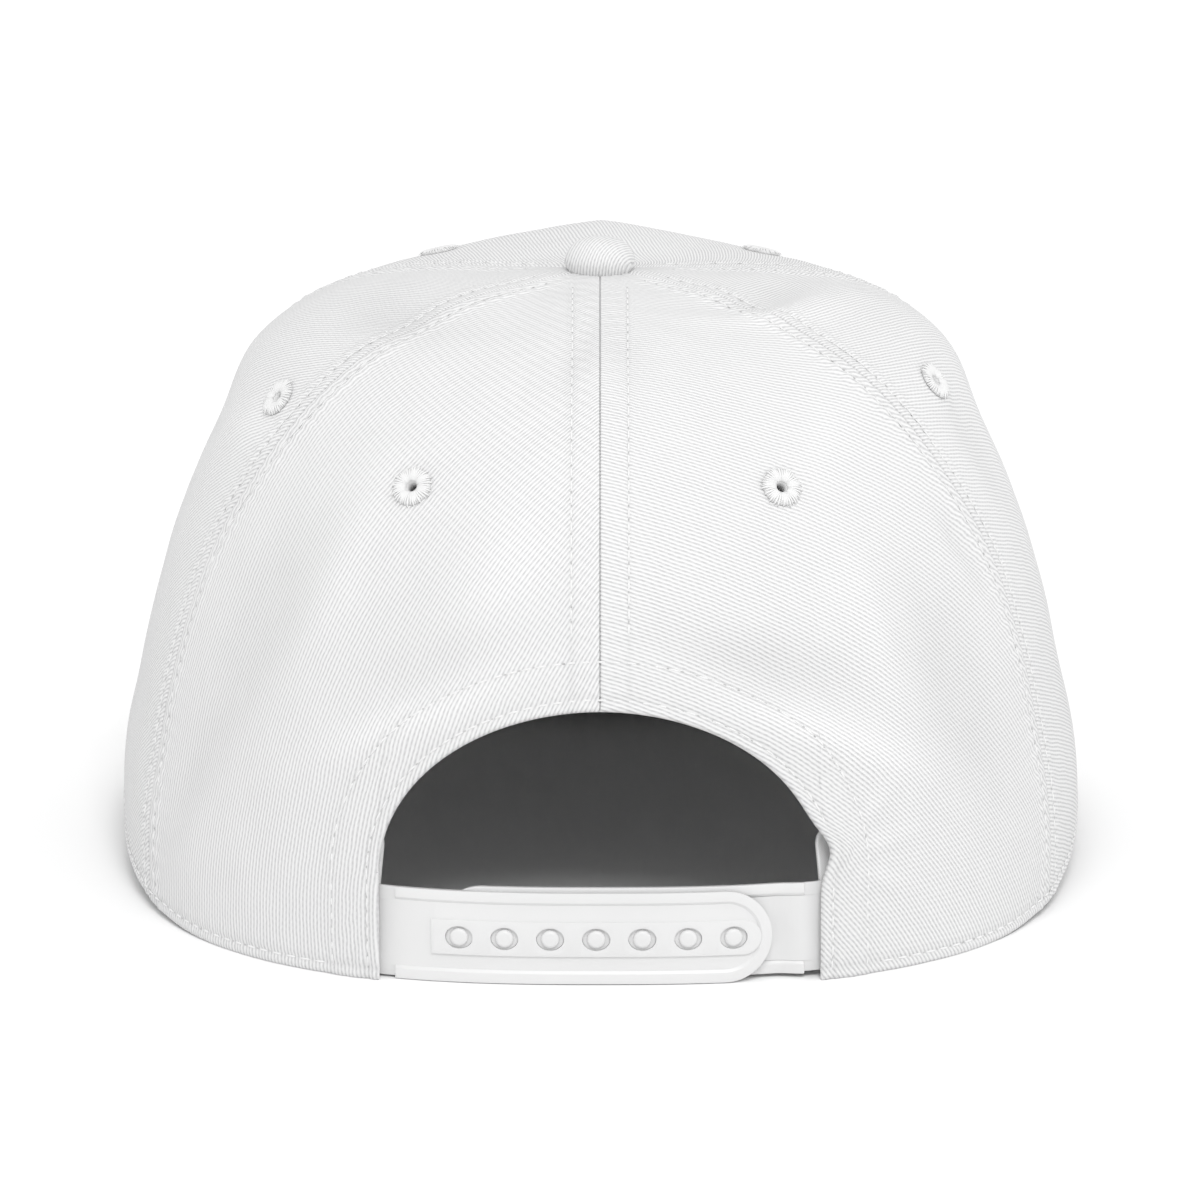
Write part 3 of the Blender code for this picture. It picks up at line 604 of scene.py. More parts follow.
def makePanel(name, places, middleAngle):
    angles, levels, openCells = places
    columns, rows = angles.shape[0] - 1, angles.shape[1] - 1
    corners = crownPoint(angles, levels)
    middles = (corners[1:, 1:] + corners[:-1, 1:] + corners[1:, :-1] + corners[:-1, :-1]) / 4
    openCells = np.zeros((columns, rows), bool) if openCells is None else openCells.copy()
    for eyeletAngle, eyeletLevel in eyelets.values():
        place = crownPoint(math.radians(eyeletAngle), eyeletLevel)
        openCells |= np.linalg.norm(middles - place, axis=-1) < eyeletRelief["cutOut"]
    panel, column, row = gridShell(name + "_cloth", columns, rows, openCells)
    angle, level = angles[column, row], levels[column, row]
    middleGap, otherGap = seamGaps(angle, level)
    point = crownPoint(angle, level)
    edgeGap = np.minimum(otherGap, np.abs(openingDistance(point)))
    aboveRim = readNet(netUp, backToFront(angle), level)
    sink = np.maximum(borderSink(edgeGap, crown["edgeRound"]), borderSink(aboveRim, crown["rimRound"]))
    sink = np.maximum(sink, borderSink(middleGap, crown["middleRound"]))
    # painted shade and light of the cloth, for its outer and inner points
    writePaintedShade(panel.data, np.tile(paintedClothShade(angle, level), 2))
    rise = clothRise(angle, level)
    outer = crownInside(angle, level, sink - rise)
    inner = crownInside(angle, level, crown["wall"] - sink - rise * 0.6)
    lip = clothLip
    pulled = hump(point[:, 2], lip["height"], lip["up"])
    pulled *= 1 - softStep(openingDistance(point), 0, lip["reach"])
    for layer in (outer, inner):
        layer[:, 0] -= np.where(backRight(point), lip["back"] * pulled, 0)
    count = len(column)
    everything = readPoints(panel.data)
    everything[:count], everything[count:] = outer, inner
    writePoints(panel.data, everything)
    across = readNet(netAround, angle, level) - readNet(netAround, np.full_like(angle, middleAngle), level)
    upward = readNet(netUp, angle, level)
    cloth = np.stack([-across, upward], -1)
    writeCloth(panel.data, np.concatenate([cloth, cloth]))
    panel.data.shade_smooth()
    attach(panel, "root")
    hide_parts(name)
    area = float(np.sum([face.area for face in panel.data.polygons])) / 2
    return panel, area


def mirrored(places):  # the same panel on the wearer's right, its columns in the other order
    angles, levels, openCells = places
    return -angles, levels, openCells


def reversedColumns(places):
    angles, levels, openCells = places
    return angles[::-1], levels[::-1], None if openCells is None else openCells[::-1]


backPlaces = backPanelPlaces()
sidePlaces = plainPanelPlaces(lambda level: seamSide(seamAngles(level)[0], 1, level),
                              lambda level: seamSide(seamAngles(level)[1], -1, level),
                              panelMesh["sideColumns"])
frontPlaces = plainPanelPlaces(lambda level: seamSide(seamAngles(level)[1], 1, level),
                               lambda level: 2 * math.pi - seamSide(seamAngles(level)[1], 1, level),
                               panelMesh["frontColumns"])
# name, places with columns running clockwise seen from above, middle angle in degrees, the point of
# the flat cloth in mm round which its twill lines curve, and the cut's width and length in metres
# with the share of them that it covers
panelPlan = [
    ("back_panel_left", reversedColumns(backPlaces), 30, (161, 20), (0.095, 0.160, 0.68)),
    ("back_panel_right", mirrored(backPlaces), -30, (-84, -50), (0.095, 0.160, 0.68)),
    ("side_panel_left", reversedColumns(sidePlaces), 85, (900, -800), (0.092, 0.172, 0.72)),
    ("side_panel_right", mirrored(sidePlaces), -85, (-500, -900), (0.092, 0.172, 0.72)),
    ("front_panel", reversedColumns(frontPlaces), 180, (-420, 78), (0.200, 0.165, 0.8)),
]
panels = {}
for name, places, middleAngle, lineMiddle, (width, length, share) in panelPlan:
    panel, area = makePanel(name, places, math.radians(middleAngle))
    panels[name] = panel
    print("panel", name, "area", round(area, 5), "of", round(share * width * length, 5))


# materials: a wrapped socket, so that shader maths reads as plain expressions
class Wire:
    def __init__(self, tree, socket):
        self.tree = tree
        self.socket = socket

    def node(self, kind, settings=None, values=None, output=0):
        made = self.tree.nodes.new("ShaderNode" + kind)
        for key, value in (settings or {}).items():
            setattr(made, key, value)
        for key, value in (values or {}).items():
            if isinstance(value, Wire):
                self.tree.links.new(value.socket, made.inputs[key])
            else:
                made.inputs[key].default_value = value
        return Wire(self.tree, made.outputs[output])

    def math(self, operation, first, second=0.0):
        return self.node("Math", {"operation": operation}, {0: first, 1: second})

    def __add__(self, other):
        return self.math("ADD", self, other)

    def __radd__(self, other):
        return self.math("ADD", other, self)

    def __sub__(self, other):
        return self.math("SUBTRACT", self, other)

    def __rsub__(self, other):
        return self.math("SUBTRACT", other, self)

    def __mul__(self, other):
        return self.math("MULTIPLY", self, other)

    def __rmul__(self, other):
        return self.math("MULTIPLY", other, self)

    def __truediv__(self, other):
        return self.math("DIVIDE", self, other)

    def __pow__(self, other):
        return self.math("POWER", self, other)

    def wave(self):
        return self.math("SINE", self)

    def clamp(self, low, high):
        return self.math("MINIMUM", self.math("MAXIMUM", self, low), high)


def newLook(name, settings):
    material = bpy.data.materials.new(name)
    material.use_nodes = True
    tree = material.node_tree
    shader = tree.nodes["Principled BSDF"]
    for key, value in settings.items():
        shader.inputs[key].default_value = value
    start = Wire(tree, None)
    return material, start, shader


def link(wire, shader, socket):
    wire.tree.links.new(wire.socket, shader.inputs[socket])


def speckle(place, scale, detail):  # noise over a place, with its scale per metre
    values = {"Vector": place, "Scale": scale, "Detail": detail}
    return place.node("TexNoise", {"noise_dimensions": "3D"}, values)


def emboss(shader, height, strength=1.0):  # relief of this height, in metres
    bump = height.node("Bump", None, {"Height": height, "Distance": 1.0, "Strength": strength})
    link(bump, shader, "Normal")


def mixColor(start, share, first, second):
    made = start.tree.nodes.new("ShaderNodeMix")
    made.data_type = "RGBA"
    for index, value in ((0, share), (6, first), (7, second)):
        if isinstance(value, Wire):
            start.tree.links.new(value.socket, made.inputs[index])
        else:
            made.inputs[index].default_value = (*value, 1) if index else value
    return Wire(start.tree, made.outputs[2])


twill = {
    "pitch": 0.77 * mm,
    "light": (0.765, 0.765, 0.765),
    # colour of the twill lines, painted as the shade in their grooves
    "dark": (0.545, 0.545, 0.55),
    "lineDepth": 0.09 * mm,
    "lineSharpness": 1.8,
    "waver": 0.5 * mm,          # how far the lines stray
    "floatLength": 1.3 * mm,    # of the threads that lie over a line
    "floatHeight": 0.02 * mm,
    "floatShift": 0.37,         # share of a float by which each line is set off from the last
    "fuzz": 0.03 * mm,
}


def twillLook(name, middle, pitch=twill["pitch"], hasPaintedShade=False):
    # middle is the point of the flat cloth, in mm, round which the twill lines curve
    matt = {"Roughness": 0.85, "Specular IOR Level": 0.2, "Sheen Weight": 0.05}
    material, start, shader = newLook(name, matt)
    uv = start.node("UVMap", {"uv_map": "cloth"})
    centre = (middle[0] * mm, middle[1] * mm, 0)
    arm = start.node("VectorMath", {"operation": "SUBTRACT"}, {0: uv, 1: centre})
    radius = start.node("VectorMath", {"operation": "LENGTH"}, {0: arm}, 1)
    lean = math.atan2(-centre[0], centre[1])
    lineWay = (math.cos(lean), math.sin(lean), 0)
    reading = start.node("VectorMath", {"operation": "DOT_PRODUCT"}, {0: uv, 1: lineWay}, 1)
    line = (radius + (speckle(uv, 220.0, 2.0) - 0.5) * twill["waver"]) / pitch
    crease = ((line * (2 * math.pi)).wave() * 0.5 + 0.5) ** twill["lineSharpness"]
    step = start.node("Math", {"operation": "FLOOR"}, {0: line})
    bead = ((reading / twill["floatLength"] + step * twill["floatShift"]) * (2 * math.pi)).wave() * 0.5 + 0.5
    fuzz = speckle(uv, 2600.0, 2.0)
    patch = speckle(uv, 120.0, 3.0)
    relief = fuzz * twill["fuzz"] - crease * (0.8 + bead * 0.4) * twill["lineDepth"]
    emboss(shader, relief + bead * twill["floatHeight"])
    # painted shade: the twill lines' grooves are coloured darker, mixed with a random tone from the patch
    # and fuzz noise
    share = (crease * (0.55 + bead * 0.25 + patch * 0.35) + (1.0 - fuzz) * 0.2 - 0.06).clamp(0.0, 1.0)
    color = mixColor(start, share, twill["light"], twill["dark"])
    # the panels' colour is scaled by their painted shade and light
    if hasPaintedShade:
        paintedShade = start.node("Attribute", {"attribute_name": "paintedShade"}, None, 2)
        color = start.node("VectorMath", {"operation": "SCALE"}, {0: color, "Scale": paintedShade})
    link(color, shader, "Base Color")
    return material


def ribbonLook():
    material, start, shader = newLook("ribbon", {"Roughness": 0.9, "Specular IOR Level": 0.2})
    uv = start.node("UVMap", {"uv_map": "cloth"})
    parts = start.node("SeparateXYZ", None, {0: uv})
    v = Wire(start.tree, parts.socket.node.outputs[1])
    threadWave = 2 * math.pi / (0.5 * mm)
    weave = (parts * threadWave).wave() * (v * threadWave).wave() * 0.5 + 0.5
    emboss(shader, weave * (0.03 * mm))
    link(mixColor(start, weave, (0.72, 0.72, 0.72), (0.80, 0.80, 0.80)), shader, "Base Color")
    return material


def threadLook(name, dark, light):
    glossy = {"Roughness": 0.55, "Specular IOR Level": 0.4, "Sheen Weight": 0.1}
    material, start, shader = newLook(name, glossy)
    strand = speckle(start.node("TexCoord", output=3), 4200.0, 2.0)
    emboss(shader, strand * (0.03 * mm), 0.8)
    link(mixColor(start, strand, (dark,) * 3, (light,) * 3), shader, "Base Color")
    return material


def plasticLook():
    material, start, shader = newLook("plastic", {"Specular IOR Level": 0.45, "Coat Weight": 0.0})
    place = start.node("TexCoord", output=3)
    grain = speckle(place, 1500.0, 3.0)
    cloud = speckle(place, 60.0, 3.0)
    emboss(shader, grain * (0.012 * mm), 0.6)
    link(mixColor(start, cloud, (0.66, 0.66, 0.66), (0.69, 0.69, 0.69)), shader, "Base Color")
    link(cloud * 0.12 + 0.36, shader, "Roughness")
    return material


def needleHoleShadeLook():  # painted shade: dark beads coloured as the shade inside a needle hole
    material, start, shader = newLook("needle_hole_shade", {"Roughness": 1.0, "Specular IOR Level": 0.0})
    depth = speckle(start.node("TexCoord", output=3), 900.0, 1.0)
    link(mixColor(start, depth, (0.34, 0.34, 0.34), (0.62, 0.62, 0.62)), shader, "Base Color")
    return material


looks = {"ribbon": ribbonLook(), "plastic": plasticLook(), "needleHoleShade": needleHoleShadeLook(),
         "eyeletThread": threadLook("eyelet_thread", 0.70, 0.78),
         "seamThread": threadLook("seam_thread", 0.68, 0.78)}
for name, places, middleAngle, lineMiddle, cutSizes in panelPlan:
    panels[name].data.materials.clear()
    panels[name].data.materials.append(twillLook("twill_" + name, lineMiddle, hasPaintedShade=True))


def dress(piece, look, slot, *nodes):
    piece.data.materials.clear()
    piece.data.materials.append(look)
    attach(piece, "root")
    if nodes:
        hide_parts(*nodes)


print("materials made")

# sweatband: a ribbon inside the rim, its right end shows beside the strap
sweatband = {
    "hem": 1 * mm,
    "top": 28 * mm,
    "wall": 1.2 * mm,
    "face": 0.1 * mm,        # its outer face lies this much behind the straps' depth
    "shows": -0.2 * mm,      # past the opening's edge
    "corner": 3.0 * mm,
    "wave": 0.12 * mm,
    "columns": 300,
    "rows": 16,
}
strap = {
    "height": 17.4 * mm,
    "thickness": 1.5 * mm,
    "border": 2.1 * mm,
    "relief": 0.4 * mm,
    "sewnIn": 9 * mm,
    "rootStep": 0.4 * mm,
    "rootLength": 2.6 * mm,
    "floorGap": 0.3 * mm,
    "gap": 0.3 * mm,
    "snaps": 7,
    "pitch": 8.55 * mm,
    "snapMiddle": 0.7 * mm,
    "snapDrop": 0.2 * mm,
    "holeLength": 5.2 * mm,
    "holeHeight": 4.4 * mm,
    "pegDiameter": 3.5 * mm,
    "channelHeight": 6.6 * mm,
    "channelEnd": 5.2 * mm,
    "holeTipInset": 1.5 * mm,
    "pegTipInset": 4 * mm,
    "pegRaise": 0.7 * mm,
    "pegBendStart": 1 * mm,
    "pegBendLength": 6 * mm,
    "slope": 0.55 * mm,
    "softEdge": 0.28 * mm,
    "channelRise": 0.02 * mm,   # the channel ends this much under the border's face
    "padGap": 0.05 * mm,        # all round each peg's pad in its hole
    "padDepth": 0.65 * mm,      # of the pads under the outer strap's face
    "pegProud": 0.15 * mm,
    "pegRound": 0.7 * mm,
}
strapDepth = crown["wall"] + strap["gap"]


def behindStrap(depth):
    return depth + strap["thickness"] + strap["gap"]


def sweatbandDepth(x):  # behind both straps at the back, right behind the cloth elsewhere
    start = opening["halfWidth"] + strap["sewnIn"] + 2 * mm
    share = softStep(np.abs(x), start, start + 12 * mm)
    return behindStrap(strapDepth) + (strapDepth - behindStrap(strapDepth)) * share


def makeSweatband():
    band = sweatband
    face = behindStrap(strapDepth) + band["wall"]
    left = float(angleAtX(opening["halfWidth"] + strap["gap"], 0.0, face))
    right = 2 * math.pi + float(angleAtX(band["shows"] - opening["halfWidth"], 0.0, face))
    shares = fineEnds(band["columns"], 0.75)
    angles = left + (right - left) * shares
    length = lengthAlong(crownPoint(angles, 0.05))
    fromEnd = np.minimum(length, length[-1] - length)
    corner = band["corner"]
    inset = np.clip(corner - fromEnd, 0, corner)
    drop = corner - np.sqrt(corner ** 2 - inset ** 2)
    low = band["hem"] + 0 * drop
    high = band["top"] - drop
    share = fineEnds(band["rows"], 0.4)
    heights = low[:, None] + (high - low)[:, None] * share
    angleGrid = angles[:, None] + 0 * heights
    levelGrid = levelAtHeight(angleGrid, heights)
    # columns run clockwise seen from above, so that the outer face looks outwards
    angleGrid, levelGrid, heights = angleGrid[::-1], levelGrid[::-1], heights[::-1]
    lengths = np.repeat(length[::-1][:, None], heights.shape[1], axis=1)
    piece, column, row = gridShell("sweatband_ribbon", band["columns"], band["rows"])
    angle, level, height = angleGrid[column, row], levelGrid[column, row], heights[column, row]
    point = crownPoint(angle, 0.0)
    depth = np.where(np.cos(angle) > 0, sweatbandDepth(point[:, 0]), strapDepth)
    wave = band["wave"] * roughness3d(crownPoint(angle, level), 12 * mm, 3.0)
    outer = crownInside(angle, level, depth + band["face"] - wave)
    inner = crownInside(angle, level, depth + band["wall"] - wave)
    writePoints(piece.data, np.concatenate([outer, inner]))
    cloth = np.stack([lengths[column, row], height], -1)
    writeCloth(piece.data, np.concatenate([cloth, cloth]))
    applyModifier(piece, "BEVEL", {"width": 0.4 * mm, "segments": 3, "limit_method": "ANGLE",
                                   "angle_limit": math.radians(50)})
    piece.data.shade_smooth()
    dress(piece, looks["ribbon"], "ribbon", "sweatband")
    return piece, length[-1]


sweatbandPiece, sweatbandLength = makeSweatband()
print("sweatband", round(sweatbandLength, 3))


# straps: modelled flat, outer face at y 0 and depth along +Y, then laid along the back wall
def snapPlaces():
    return [strap["snapMiddle"] + ((strap["snaps"] - 1) / 2 - snap) * strap["pitch"]
            for snap in range(strap["snaps"])]


snaps = snapPlaces()
holeTip = snaps[-1] + strap["holeTipInset"] - strap["height"] / 2


def selectWhere(thing, kind, test):
    bpy.ops.mesh.select_mode(type=kind)
    bpy.ops.mesh.select_all(action="DESELECT")
    mesh = bmesh.from_edit_mesh(thing.data)
    items = mesh.edges if kind == "EDGE" else mesh.faces
    for item in items:
        item.select = test(item)
    bmesh.update_edit_mesh(thing.data)


def flatBar(tipX, rootX, halfHeight, nearY, farY, z=0.0, roundSegments=24):
    # a bar in x and z with a round end at tipX
    deselectAll()
    bpy.ops.mesh.primitive_cube_add(size=1, location=((tipX + rootX) / 2, (nearY + farY) / 2, z),
                                    scale=(abs(rootX - tipX), farY - nearY, 2 * halfHeight))
    bar = bpy.context.object
    bpy.ops.object.transform_apply(location=True, rotation=False, scale=True)
    if roundSegments:
        bpy.ops.object.mode_set(mode="EDIT")
        selectWhere(bar, "EDGE", lambda edge: all(abs(end.co.x - tipX) < 1e-6 for end in edge.verts)
                    and abs(edge.verts[0].co.y - edge.verts[1].co.y) > 1e-5)
        bpy.ops.mesh.bevel(offset=halfHeight * 0.998, segments=roundSegments, profile=0.5, affect="EDGES")
        bpy.ops.object.mode_set(mode="OBJECT")
    return bar


def ovalRod(x, z, length, height, nearY, farY, sides=40):
    deselectAll()
    bpy.ops.mesh.primitive_cylinder_add(vertices=sides, radius=0.5, depth=1, rotation=(math.pi / 2, 0, 0),
                                        location=(x, (nearY + farY) / 2, z))
    rod = bpy.context.object
    bpy.ops.object.transform_apply(location=False, rotation=True, scale=False)
    rod.scale = (length, farY - nearY, height)
    bpy.ops.object.transform_apply(location=True, rotation=False, scale=True)
    return rod


def cut(thing, operation, tool):
    applyModifier(thing, "BOOLEAN", {"operation": operation, "object": tool, "solver": "EXACT"})
    bpy.data.objects.remove(tool)


def slopeWalls(bar, endMiddle, halfHeight, depth):  # narrows a recess towards its floor, widens it above
    points = readPoints(bar.data)
    inRound = np.abs(points[:, 0] - endMiddle) <= halfHeight + 1e-6
    reach = np.where(points[:, 1] > depth / 2, -strap["slope"] / 2, strap["slope"] / 2) / halfHeight
    points[:, 2] *= 1 + reach
    points[:, 0] += np.where(inRound, (points[:, 0] - endMiddle) * reach, 0)
    points[:, 1] = np.where(points[:, 1] > depth / 2, points[:, 1], -0.02 * mm)
    writePoints(bar.data, points)


def strapBlank(tipX, rootX):
    half = strap["height"] / 2
    toward = math.copysign(1, rootX - tipX)
    stepX = toward * (opening["halfWidth"] - strap["rootLength"])
    blank = flatBar(tipX, rootX, half, 0.0, strap["thickness"])
    recess = flatBar(tipX + toward * strap["border"], rootX + toward * 0.002, half - strap["border"],
                     0.0, strap["relief"])
    slopeWalls(recess, tipX + toward * half, half - strap["border"], strap["relief"])
    cut(blank, "DIFFERENCE", recess)
    # past the step towards the root the border is gone and the strap is a little narrower below
    face = flatBar(stepX, rootX + toward * 0.003, half + 0.001, -0.001, strap["relief"], 0.0, 0)
    cut(blank, "DIFFERENCE", face)
    edge = flatBar(stepX, rootX + toward * 0.003, 0.001, -0.001, strap["thickness"] + 0.001,
                   strap["rootStep"] - half - 0.001, 0)
    cut(blank, "DIFFERENCE", edge)
    return blank


def softenEdges(thing, width):
    applyModifier(thing, "WELD", {"merge_threshold": 2e-6})
    applyModifier(thing, "BEVEL", {"width": width, "segments": 3, "limit_method": "ANGLE",
                                   "angle_limit": math.radians(28), "use_clamp_overlap": True})


def layStrap(thing, name, middleZ, depthAt):
    slices = 64
    makeActive(thing)
    points = readPoints(thing.data)
    low, high = points[:, 0].min(), points[:, 0].max()
    bpy.ops.object.mode_set(mode="EDIT")
    bpy.ops.mesh.select_mode(type="FACE")
    for x in np.linspace(low, high, slices + 1)[1:-1]:
        bpy.ops.mesh.select_all(action="SELECT")
        bpy.ops.mesh.bisect(plane_co=(x, 0, 0), plane_no=(1, 0, 0))
    bpy.ops.mesh.select_all(action="SELECT")
    bpy.ops.mesh.quads_convert_to_tris()
    bpy.ops.object.mode_set(mode="OBJECT")
    points = readPoints(thing.data)
    angle, level = backPlace(points[:, 0], middleZ + points[:, 2])
    depth = depthAt(points[:, 0]) + points[:, 1]
    writePoints(thing.data, crownPoint(angle, level) - crownOut(angle, level) * depth[:, None])
    thing.name = name
    thing.data.name = name
    makeActive(thing)
    bpy.ops.object.shade_smooth_by_angle(angle=math.radians(32))


def makeHoleStrap():
    blank = strapBlank(holeTip, opening["halfWidth"] + strap["sewnIn"])
    rise = strap["channelHeight"] / 2
    channel = flatBar(snaps[-1] - strap["channelEnd"], snaps[0] + strap["channelEnd"], rise,
                      strap["channelRise"], strap["thickness"] / 2, -strap["snapDrop"])
    cut(blank, "UNION", channel)
    for x in snaps:
        cut(blank, "DIFFERENCE", ovalRod(x, -strap["snapDrop"], strap["holeLength"], strap["holeHeight"],
                                         -2 * mm, 4 * mm))
    softenEdges(blank, strap["softEdge"])
    middleZ = strap["floorGap"] + strap["height"] / 2
    layStrap(blank, "strap_with_holes", middleZ, lambda x: strapDepth + 0 * x)
    dress(blank, looks["plastic"], "plastic", "hole_strap")


def makePegStrap():
    tipX = snaps[0] - strap["pegTipInset"] + strap["height"] / 2
    blank = strapBlank(tipX, -opening["halfWidth"] - strap["sewnIn"])
    softenEdges(blank, strap["softEdge"])
    toOuterFace = strap["gap"] + strap["thickness"]
    low = -strap["snapDrop"] - strap["pegRaise"]
    padLength, padHeight = (strap[size] - 2 * strap["padGap"] for size in ("holeLength", "holeHeight"))
    for x in snaps:
        pad = ovalRod(x, low, padLength, padHeight, strap["padDepth"] - toOuterFace, strap["thickness"] / 2)
        cut(blank, "UNION", pad)
        peg = ovalRod(x, low, strap["pegDiameter"], strap["pegDiameter"],
                      -toOuterFace - strap["pegProud"], strap["thickness"] / 2, 32)
        applyModifier(peg, "BEVEL", {"width": strap["pegRound"], "segments": 5, "limit_method": "ANGLE",
                                     "angle_limit": math.radians(40)})
        cut(blank, "UNION", peg)

    def depthAt(x):
        share = softStep(holeTip - strap["pegBendStart"] - x, 0, strap["pegBendLength"])
        return behindStrap(strapDepth) + (strapDepth - behindStrap(strapDepth)) * share

    middleZ = strap["floorGap"] + strap["height"] / 2 + strap["pegRaise"]
    layStrap(blank, "strap_with_pegs", middleZ, depthAt)
    dress(blank, looks["plastic"], "plastic", "peg_strap")


makeHoleStrap()
makePegStrap()
print("straps laid")

# peak
peak = {
    "frontEdge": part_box("peak")[0].y,
    "halfWidth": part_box("peak")[1].x,
    "thickness": 3 * mm,
    "drop": 3 * mm,
    "rootSpan": math.radians(66),
    "squareness": 2.4,
    "gap": 0.3 * mm,
    "columns": 150,
    "rows": 84,
    "edgeShares": [0.982, 0.988, 0.993, 0.9965, 0.9988, 1],  # rows of faces round its edge
    "stitchRows": 6,
    "firstRow": 5 * mm,
    "rowStep": 7 * mm,
    "groove": 0.14 * mm,
    "grooveWidth": 0.6 * mm,
    "grooveFree": 0.1 * mm,   # a groove shallower than this doesn't show
    "swell": 0.10 * mm,
}
peakRows = [peak["firstRow"] + row * peak["rowStep"] for row in range(peak["stitchRows"])]


def peakTop(across, forward):
    root = crownInside(math.pi - peak["rootSpan"] * across, np.zeros(np.shape(across)), crown["wall"])
    root[..., 2] -= peak["gap"]
    turn = math.pi / 2 * across
    power = 2 / peak["squareness"]
    corner = crownPoint(math.pi - peak["rootSpan"], 0.0)
    arch = crownPoint(math.pi, 0.0)[2] - peak["gap"] - peak["drop"] - peak["thickness"]
    edgeX = peak["halfWidth"] * np.sign(across) * np.abs(np.sin(turn)) ** power
    edgeY = corner[1] + (peak["frontEdge"] - corner[1]) * np.abs(np.cos(turn)) ** power
    edgeZ = peak["thickness"] + arch * (1 - (edgeX / peak["halfWidth"]) ** 2)
    edge = np.stack([edgeX, edgeY, edgeZ], -1)
    return root + (edge - root) * forward[..., None]


def makePeak():
    shares = -np.sin(math.pi / 2 * np.linspace(-1, 1, peak["columns"] + 1))
    edgeShares = peak["edgeShares"]
    forwards = np.concatenate([np.linspace(0, 0.975, peak["rows"] - len(edgeShares)), edgeShares])
    rows = len(forwards) - 1
    across, forward = np.meshgrid(shares, forwards, indexing="ij")
    top = peakTop(across, forward)
    fromEdge = np.linalg.norm(top - peakTop(across, np.ones(across.shape)), axis=-1)
    half = peak["thickness"] / 2
    share = np.clip(1 - fromEdge / half, 0, 1)
    sink = half * 0.9 * (1 - np.sqrt(1 - share ** 2))
    groove = np.zeros(across.shape)
    for row in peakRows:
        groove += peak["groove"] * hump(fromEdge, row, peak["grooveWidth"])
    soft = peak["swell"] * roughness3d(top, 16 * mm, 6.0)
    piece, column, row = gridShell("peak_cloth", peak["columns"], rows)
    upper, lower = top.copy(), top.copy()
    upper[..., 2] -= sink + np.maximum(groove - soft - peak["grooveFree"], 0.0)
    lower[..., 2] -= peak["thickness"] - sink - np.maximum(groove - peak["grooveFree"], 0)
    writePoints(piece.data, np.concatenate([upper[column, row], lower[column, row]]))
    cloth = top[column, row][:, :2] * (-1, 1)
    writeCloth(piece.data, np.concatenate([cloth, cloth]))
    piece.data.shade_smooth()
    dress(piece, twillLook("twill_peak", (1500, -1500)), "twill", "peak")
    return piece


makePeak()
print("peak made")

# button: a covered dome with pleats round its skirt
button = {"diameter": 13.6 * mm, "height": 5.8 * mm, "bulge": 0.4 * mm, "skirt": 1.6 * mm, "seat": 1.5 * mm,
          "tuck": 0.4 * mm, "pleats": 17, "pleatDepth": 0.22 * mm, "pleatHeight": 0.6 * mm,
          "pleatSpread": 1.6 * mm, "segments": 96, "rings": 48}


def makeButton():
    deselectAll()
    bpy.ops.mesh.primitive_uv_sphere_add(segments=button["segments"], ring_count=button["rings"], radius=1)
    dome = bpy.context.object
    dome.name = "button_cloth"
    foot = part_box("top_button")[1].z - button["height"]
    points = readPoints(dome.data)
    turn = np.arctan2(points[:, 1], points[:, 0])
    flat = np.hypot(points[:, 0], points[:, 1])
    rise = points[:, 2]
    upper = rise >= 0
    domeHeight = button["height"] - button["skirt"] + button["bulge"]
    height = button["skirt"] + np.where(upper, domeHeight, button["skirt"] + button["seat"]) * rise
    pleatDepth = button["pleatDepth"] * hump(height, button["pleatHeight"], button["pleatSpread"])
    uneven = 0.6 + 0.4 * np.sin(3 * turn + 1)
    pleat = np.cos(button["pleats"] * turn + 0.8 * np.sin(2 * turn)) * pleatDepth * uneven
    fullness = np.where(upper, flat ** 0.9, flat ** 0.25)
    spread = (button["diameter"] / 2 + pleat * flat) * fullness
    spread -= np.where(upper, 0, button["tuck"]) * np.abs(rise) * fullness
    moved = np.stack([spread * np.cos(turn), axisY + spread * np.sin(turn), foot + height], -1)
    writePoints(dome.data, moved)
    cloth = np.stack([-spread * np.cos(turn), height - 0.5 * spread * np.sin(turn)], -1)
    writeCloth(dome.data, cloth)
    dome.data.shade_smooth()
    dress(dome, twillLook("twill_button", (9.5, -3.5), 0.6 * mm), "twill", "top_button")


makeButton()


# stitches and eyelet threads: one is modelled and copied along the rows, each copy in its own frame
def threadPiece(segments, rings):
    deselectAll()
    bpy.ops.mesh.primitive_uv_sphere_add(segments=segments, ring_count=rings, radius=1,
                                         rotation=(0, math.pi / 2, 0))
    bead = bpy.context.object
    bpy.ops.object.transform_apply(location=False, rotation=True, scale=False)
    points = readPoints(bead.data)
    faces = [tuple(face.vertices) for face in bead.data.polygons]
    bpy.data.objects.remove(bead)
    return points, faces


def copiesMesh(name, shapes, faces):  # shapes: copies by points by 3
    copies, count = shapes.shape[:2]
    mesh = bpy.data.meshes.new(name)
    allFaces = [tuple(index + copy * count for index in face) for copy in range(copies) for face in faces]
    mesh.from_pydata(shapes.reshape(-1, 3).tolist(), [], allFaces)
    mesh.shade_smooth()
    piece = bpy.data.objects.new(name, mesh)
    bpy.context.scene.collection.objects.link(piece)
    return piece


# the hole sizes are those of the dark beads painted as needle-hole shade
stitch = {"length": 2.1 * mm, "width": 0.46 * mm, "height": 0.34 * mm, "lift": 0.05 * mm, "bow": 0.1 * mm,
          "pitch": 2.75 * mm, "rimPitch": 3.2 * mm, "sides": 6, "rings": 6,
          "holeLength": 0.62 * mm, "holeWidth": 0.44 * mm, "holeHeight": 0.16 * mm}


def clothRow(angles, levels):  # points on the cloth along a row, and the way out of it there
    out = crownOut(angles, levels)
    return crownPoint(angles, levels) + out * clothRise(angles, levels)[..., None], out


def readRow(length, spots, values):
    return np.stack([np.interp(spots, length, values[:, axis]) for axis in range(3)], -1)


